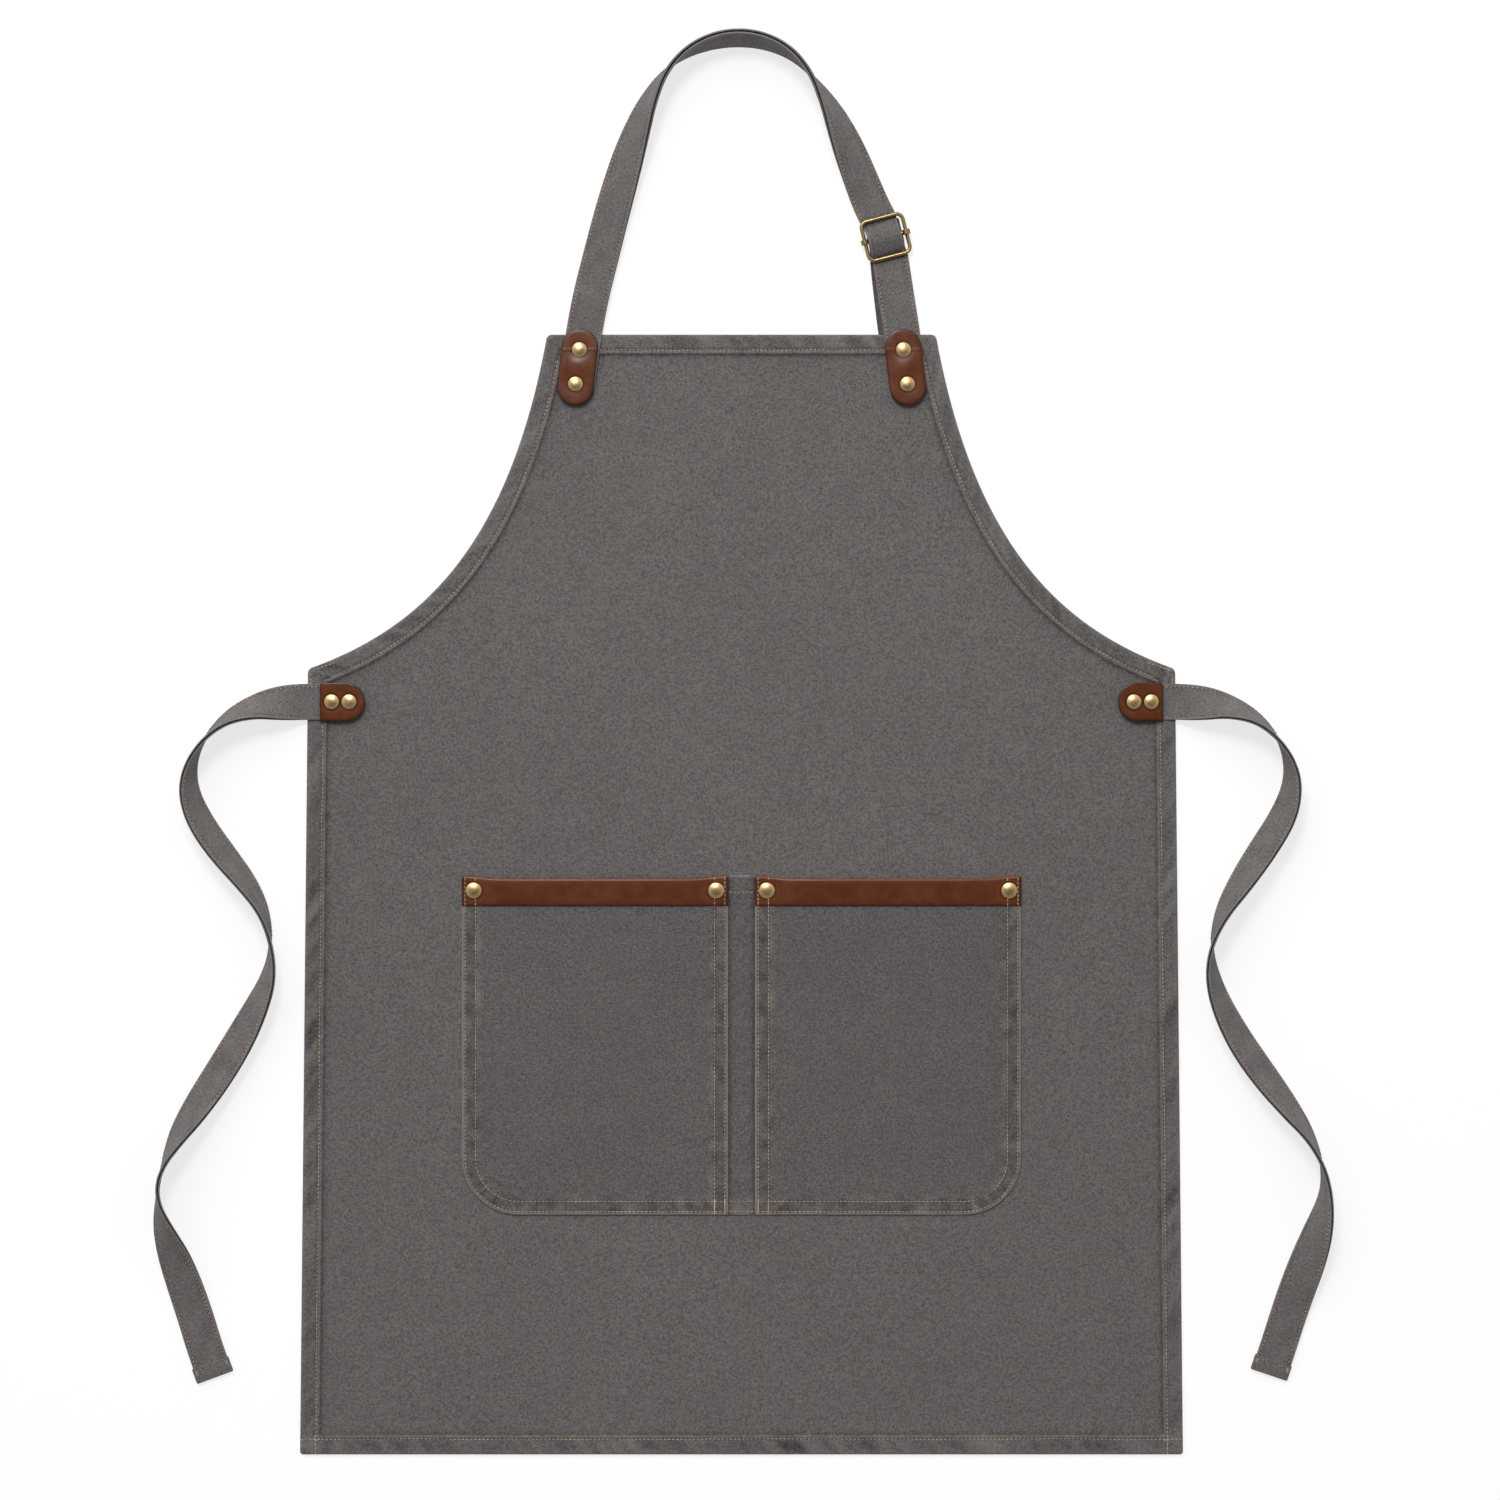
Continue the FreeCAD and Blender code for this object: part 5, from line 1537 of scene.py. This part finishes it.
        sweep(bm, len(stations), len(outline), place, lambda n, index: (around[index], stations[n].run))
        bmesh.ops.recalc_face_normals(bm, faces=bm.faces[:])

    def wear_and_shading(self, across: float, out: float, station: Station) -> float:
        """Painted highlights on the folded edges, painted shade in the seam grooves and in the slit between
        the lips.
        """
        level = graded(across, [
            (-14, 0.62), (-13.3, 0.66), (-12.2, 0.54), (-11.6, 0.26), (-11.0, 0.47), (-8, 0.5), (8, 0.5),
            (10.8, 0.47), (11.5, 0.26), (12.3, 0.56), (13.3, 0.68), (14, 0.62)])
        lip = (station.body + station.full * self.lip) / MM
        # painted shade in the slit between the lips
        if across > 10.9 and abs(out) < 0.33 * lip:
            return 0.0
        # painted highlight on the folded edge of the lip
        if across > 13.5 and station.full > 0.3:
            return 0.74
        return held(level + 0.10 * ripple(station.run / (14 * MM), across / 9, 53.0))

    def stitches(self, stations: list[Station]) -> Seam:
        """Four rows of stitches, two on each face."""
        seam = Seam()
        stitch = Stitch(2.2 * MM, 0.66 * MM, 0.46 * MM)
        due = STITCH_PITCH / 2
        for a, b in zip(stations, stations[1:]):
            while due < b.run:
                share = (due - a.run) / max(1e-9, b.run - a.run)
                centre = a.centre.lerp(b.centre, share)
                if self.hump(centre) > 0.02:
                    due += STITCH_PITCH
                    continue
                for across in (-11.6 * MM, 11.5 * MM):
                    swell = 0.30 * a.full * self.lip if across > 0 else 0.0
                    for sign in (-1, 1):
                        out = a.face * sign
                        spot = centre + a.edge * across + out * (0.92 * a.body + swell)
                        seam.sew(stitch, spot, a.ahead, out)
                due += STITCH_PITCH
        return seam

    def cuff(self, bm: bmesh.types.BMesh, end: Station) -> None:
        """Add the folded and sewn end of a tie, a little wider and thicker than the strap."""
        length, half, thick = 12.5 * MM, 15.0 * MM, 3.3 * MM
        ahead = Vector((end.ahead.x, end.ahead.y, 0)).normalized()
        side = Vector((-ahead.y, ahead.x, 0))
        part = bmesh.new()
        lay = part.loops.layers.uv.new("lay")
        wear_and_shading_layer = part.verts.layers.float.new("wear_and_shading")
        bmesh.ops.create_cube(part, size=1.0, matrix=Matrix.Diagonal((length, 2 * half, thick, 1.0)))
        bmesh.ops.bevel(part, geom=part.edges[:], offset=1.3 * MM, offset_type="OFFSET", segments=5,
                        profile=0.5, affect="EDGES", material=-1)
        for n in range(1, 12):
            bmesh.ops.bisect_plane(part, geom=part.verts[:] + part.edges[:] + part.faces[:],
                                   plane_co=((n / 12 - 0.5) * length, 0, 0), plane_no=(1, 0, 0))
        middle = end.centre.xy.to_3d() + ahead * (0.8 * MM - length / 2) + Vector((0, 0, thick / 2))
        for face in part.faces:
            for loop in face.loops:
                loop[lay].uv = (loop.vert.co.y, end.run + loop.vert.co.x)
        for vert in part.verts:
            along, across, up = vert.co
            rib = graded(along / MM, [(-6.3, -0.5), (-4.6, 0.1), (-3.4, -0.35), (-2.2, 0.12), (4, 0.1)])
            up += rib * MM * max(0.0, up / thick)
            # painted shade in the groove across the cuff, painted highlights on the ribs beside it and along
            # its far edge
            vert[wear_and_shading_layer] = graded(along / MM, [(-6.3, 0.42), (-4.6, 0.55), (-3.4, 0.26), (-2.2, 0.56),
                                             (4.2, 0.46), (6.2, 0.7)])
            vert.co = middle + ahead * along + side * across + Vector((0, 0, up))
        mesh = bpy.data.meshes.new("cuff")
        part.to_mesh(mesh)
        part.free()
        bm.from_mesh(mesh)
        bpy.data.meshes.remove(mesh)

    def cuff_stitches(self, seam: Seam, end: Station) -> None:
        """Row across the cuff, with a tack at each side."""
        ahead = Vector((end.ahead.x, end.ahead.y, 0)).normalized()
        side = Vector((-ahead.y, ahead.x, 0))
        root = end.centre.xy.to_3d() - ahead * 8.9 * MM + Vector((0, 0, 3.05 * MM))
        seam.sew_row(Stitch(), [root - side * 13 * MM, root + side * 13 * MM])
        for sign in (-1, 1):
            for n in range(3):
                spot = root + side * sign * 12.4 * MM + ahead * (0.6 + 1.1 * n) * MM
                seam.sew(Stitch(), spot + Vector((0, 0, 0.25 * MM)),
                         (side + ahead * 0.2).normalized(), UP)


def near_tab(run: float, total: float) -> float:
    """Pressing of a tie: flat under its tab, full from a little way out."""
    return 1 - smooth((run - 26 * MM) / (26 * MM))


def near_tab_or_slider(run: float, total: float) -> float:
    """Pressing of the neck strap: flat under its tab and through the slider."""
    return max(1 - smooth((run - 47 * MM) / (20 * MM)), 1 - smooth((total - run - 45 * MM) / (50 * MM)))


def always(run: float, total: float) -> float:
    """Pressing of a short end that is flat all along."""
    return 1.0


@dataclass
class WaistTie:
    """A waist tie: strap, folded end and stitching."""

    finishes: Finishes
    hand: Hand

    def build(self) -> list[bpy.types.Object]:
        word = self.hand.word
        route = LEFT_TIE_ROUTE if self.hand is Hand.LEFT else RIGHT_TIE_ROUTE
        strap = Strap(self.finishes, f"waist_strap_{word}", route, self.hand, near_tab)
        stations = strap.stations()
        bm = bmesh.new()
        strap.ribbon(stations, bm)
        strap.cuff(bm, stations[-1])
        piece = finished(bm, strap.name, self.finishes.strap)
        seam = strap.stitches([s for s in stations if s.run < stations[-1].run - 11 * MM])
        strap.cuff_stitches(seam, stations[-1])
        stitches = seam.made(f"{strap.name}_stitches", self.finishes.thread)
        settled(piece, f"waist_tie_{word}", "strap_canvas")
        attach(stitches, "root")
        return [piece, stitches]


@dataclass
class NeckStrap:
    """The neck strap in its two stretches, above and below the slider's lower wire."""

    finishes: Finishes

    def blended(self, piece: bpy.types.Object, start: Vector, end: Vector) -> None:
        """Let a piece follow the slider from one place on, and the bib before it."""
        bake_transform(piece, "root", "slider", start=start, end=end)
        "stitch_thread" if "stitches" in piece.name else "strap_canvas"

    def build(self) -> list[bpy.types.Object]:
        """Make both stretches with their stitching."""
        loop = Strap(self.finishes, "neck_loop", NECK_ROUTE, Hand.RIGHT, near_tab_or_slider, True,
                     1.1 * MM)
        stations = loop.stations()
        bm = bmesh.new()
        loop.ribbon(stations, bm)
        piece = finished(bm, loop.name, self.finishes.strap)
        stitches = loop.stitches(stations).made("neck_loop_stitches", self.finishes.thread)
        for made in (piece, stitches):
            self.blended(made, at(0.0660, 1.0530), at(0.1230, 1.0131))
        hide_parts("neck_strap")
        tail = Strap(self.finishes, "neck_loop_end", NECK_END_ROUTE, Hand.LEFT, always)
        ends = tail.stations()
        bm = bmesh.new()
        tail.ribbon(ends, bm)
        end_piece = finished(bm, tail.name, self.finishes.strap)
        end_stitches = tail.stitches(ends).made("neck_loop_end_stitches", self.finishes.thread)
        for made in (end_piece, end_stitches):
            self.blended(made, at(0.1235, 0.8765), at(0.1160, 0.9245))
        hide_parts("neck_strap_end")
        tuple(stations[0].centre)
        return [piece, stitches, end_piece, end_stitches]


@dataclass
class SliderStay:
    """Short strap sewn round the slider's bar, running behind and in under the bib's top hem."""

    finishes: Finishes
    half: float = 13.8 * MM
    half_thickness: float = 0.75 * MM
    length: float = 98.0 * MM

    def line(self) -> list[Vector]:
        """Middle line, from just above the bar down to its end inside the hem."""
        down = Vector((math.sin(SLIDER_LEAN), -math.cos(SLIDER_LEAN), 0))
        bar = Vector((SLIDER_CENTRE.x, SLIDER_CENTRE.y, 0))
        return smooth_line([
            bar - down * 12.5 * MM + Vector((0, 0, 1.0 * MM)),
            bar - down * 4 * MM + Vector((0, 0, 1.0 * MM)),
            bar + down * 6 * MM + Vector((0, 0, 1.0 * MM)),
            bar + down * 16 * MM + Vector((-2.2 * MM, 0, 0.95 * MM)),
            bar + down * 30 * MM + Vector((-4.6 * MM, 0, 0.9 * MM)),
            at(0.1176, 0.8900, 0.0009),
            at(0.1192, 0.8760, 0.0009),
            at(0.1212, 0.8630, 0.0009),
        ], 8)

    def ribbon(self, bm: bmesh.types.BMesh) -> None:
        """Sweep a flat ribbon with soft edges along the line."""
        line = self.line()
        last = len(line) - 1
        section = [(-1.0, 0.0), (-0.97, 0.8), (-0.9, 1.0), (0.0, 1.0), (0.9, 1.0), (0.97, 0.8),
                   (1.0, 0.0), (0.97, -0.8), (0.9, -1.0), (0.0, -1.0), (-0.9, -1.0), (-0.97, -0.8)]

        def place(n: int, index: int) -> tuple[Vector, float]:
            """Position and shading value of one point: painted shade, dark because it lies in the strap's
            shadow.
            """
            across, out = section[index]
            ahead = (line[min(n + 1, last)] - line[max(n - 1, 0)]).normalized()
            side = Vector((ahead.y, -ahead.x, 0)).normalized()
            return (line[n] + side * across * self.half
                    + side.cross(ahead) * out * self.half_thickness), 0.2

        def lay_out(n: int, index: int) -> tuple[float, float]:
            """UV of one point."""
            return index / len(section) * 4 * self.half, n / last * 0.09

        sweep(bm, len(line), len(section), place, lay_out)

    def build(self) -> bpy.types.Object:
        """Make the stay as a flat ribbon with a loop round the bar."""
        bm = bmesh.new()
        self.ribbon(bm)
        self.loop_round_bar(bm)
        bmesh.ops.recalc_face_normals(bm, faces=bm.faces[:])
        piece = finished(bm, "stay_cloth", self.finishes.strap)
        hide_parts("slider_stay")
        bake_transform(piece, "root", "slider", start=at(0.1215, 0.8760), end=at(0.1145, 0.9260))
        return piece

    def loop_round_bar(self, bm: bmesh.types.BMesh) -> None:
        """Sleeve of cloth round the bar, long enough for the bar to shift in it."""
        half, inner, outer, play = 12.2 * MM, 1.75 * MM, 2.55 * MM, 2.1 * MM
        profile = [(inner, -half), (outer, -half), (outer, half), (inner, half)]
        lean = Matrix.Rotation(SLIDER_LEAN, 4, "Z")
        # the sleeve's points keep the shading layer's default of 0, so the sleeve is painted darkest as
        # painted shade
        ring = [bm.verts.new((x, 0, out)) for out, x in profile]
        edges = [bm.edges.new(pair) for pair in zip(ring, [*ring[1:], ring[0]])]
        bmesh.ops.spin(bm, geom=[*ring, *edges], cent=(0, 0, 0), axis=(1, 0, 0),
                       angle=2 * math.pi, steps=24, use_merge=True)
        verts = list({v for v in bm.verts if (v.co - Vector((v.co.x, 0, 0))).length < 3 * MM
                      and abs(v.co.x) <= half + 1e-6})
        for vert in verts:
            vert.co.y += math.copysign(play, vert.co.y) if abs(vert.co.y) > 0.1 * MM else 0.0
            vert.co = lean @ vert.co + SLIDER_CENTRE


# ---------------------------------------------------------------- hardware and studio

@dataclass
class Hardware:
    """The frame's own metal nodes, which keep their shape and get their finish here."""

    finishes: Finishes

    def dress(self) -> list[bpy.types.Object]:
        """Give the slider and the rivets' back caps their metal."""
        dressed = []
        for name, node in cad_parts.items():
            if name.startswith("slider_") and name != "slider_stay":
                material = self.finishes.slider
            elif "rivet_backs" in name:
                material = self.finishes.rivet
            else:
                continue
            for slot in node.material_slots:
                slot.material = material
            dressed.append(node)
        return dressed


@dataclass
class Studio:
    """Pale table, soft light from the neck's side, and a camera straight above."""

    centre: tuple[float, float] = (0.0066, 0.1102)
    height: float = 2.75
    lens: float = 85.0

    def table(self) -> None:
        """The table top, a stage and not part of the object."""
        bm = bmesh.new()
        bmesh.ops.create_grid(bm, x_segments=4, y_segments=4, size=7.0)
        for vert in bm.verts:
            vert.co.z = -0.2 * MM
        table = finished(bm, "table", TableFinish().material())

    def sun(self, name: str, towards: tuple, spread: float, strength: float) -> None:
        """Broad, even light from far away.

        Args:
            name: the lamp's name.
            towards: direction from the apron to the light.
            spread: how wide the light looks, in degrees.
            strength: watts per square metre.
        """
        light = bpy.data.lights.new(name, "SUN")
        light.angle = math.radians(spread)
        light.energy = strength
        lamp = bpy.data.objects.new(name, light)
        lamp.rotation_euler = Vector(towards).to_track_quat("Z", "Y").to_euler()
        bpy.context.scene.collection.objects.link(lamp)

    def lamp(self, name: str, place: tuple, aim: tuple, size: float, power: float) -> None:
        """Square soft light.

        Args:
            name: the lamp's name.
            place: where it hangs.
            aim: the point that it faces.
            size: its side.
            power: watts.
        """
        light = bpy.data.lights.new(name, "AREA")
        light.shape = "SQUARE"
        light.size = size
        light.energy = power
        lamp = bpy.data.objects.new(name, light)
        lamp.location = place
        lamp.rotation_euler = (Vector(aim) - Vector(place)).to_track_quat("-Z", "Y").to_euler()
        bpy.context.scene.collection.objects.link(lamp)

    def sky(self) -> None:
        """Room light: bright round the sides and towards the neck, dark straight overhead."""
        world = bpy.data.worlds.new("room")
        world.use_nodes = True
        g = Graph(world.node_tree)
        ray = g.node("ShaderNodeTexCoord").outputs["Generated"]
        parts = g.node("ShaderNodeSeparateXYZ", Vector=ray)
        sides = g.spread(parts.outputs[1], -0.6, 0.7, 0.55, 1.25)
        overhead = g.spread(parts.outputs[2], 0.72, 0.93, 1.0, 0.10)
        level = g.math("MULTIPLY", sides, overhead)
        background = world.node_tree.nodes["Background"]
        world.node_tree.links.new(level, background.inputs["Color"])
        background.inputs["Strength"].default_value = 0.66
        bpy.context.scene.world = world

    def camera(self) -> None:
        """Long lens looking straight down, the neck at the top of the picture."""
        data = bpy.data.cameras.new("camera")
        data.lens = self.lens
        data.sensor_width = 36.0
        camera = bpy.data.objects.new("camera", data)
        camera.location = (*self.centre, self.height)
        camera.rotation_euler = (0.0, 0.0, 0.0)
        bpy.context.scene.collection.objects.link(camera)
        bpy.context.scene.camera = camera

    def build(self) -> None:
        """Set everything up."""
        self.table()
        self.sky()
        self.sun("window", (-0.45, 1.0, 0.75), 34.0, 0.75)
        self.lamp("panel", (-0.40, 1.90, 2.80), (0.0, 0.1, 0.0), 0.80, 58.0)
        self.camera()
        bpy.context.scene.view_settings.view_transform = "Standard"


def report(title: str, pieces: list[bpy.types.Object]) -> None:
    """Log each piece with its count of faces."""
    for piece in pieces:
        LOG.info("%s: %s, %d faces", title, piece.name, len(piece.data.polygons))


def main() -> None:
    """Build the apron piece by piece."""
    logging.basicConfig(level=logging.INFO, format="%(message)s")
    Studio().build()
    finishes = Finishes()
    report("neck strap", NeckStrap(finishes).build())
    for hand in Hand:
        report("waist tie", WaistTie(finishes, hand).build())
    report("body", Body(finishes).build())
    report("pen slot", PenSlot(finishes).build())
    for hand in Hand:
        pocket = Pocket(finishes, hand)
        report("pocket", pocket.build())
        caps = [RivetCaps(finishes, f"pocket_rivet_caps_{hand.word}", pocket.rivets(), TRIM_CAP_RADIUS,
                          TRIM_CAP_SEAT)]
        for place, tab in (("neck", neck_tab(finishes, hand)), ("waist", waist_tab(finishes, hand))):
            report("tab", [tab.build()])
            caps.append(RivetCaps(finishes, f"{place}_rivet_caps_{hand.word}", tab.rivets,
                                  TAB_CAP_RADIUS, TAB_TOP))
        report("rivets", [cap.build() for cap in caps])
    report("stay", [SliderStay(finishes).build()])
    report("hardware", Hardware(finishes).dress())


if __name__ == "__main__":
    main()
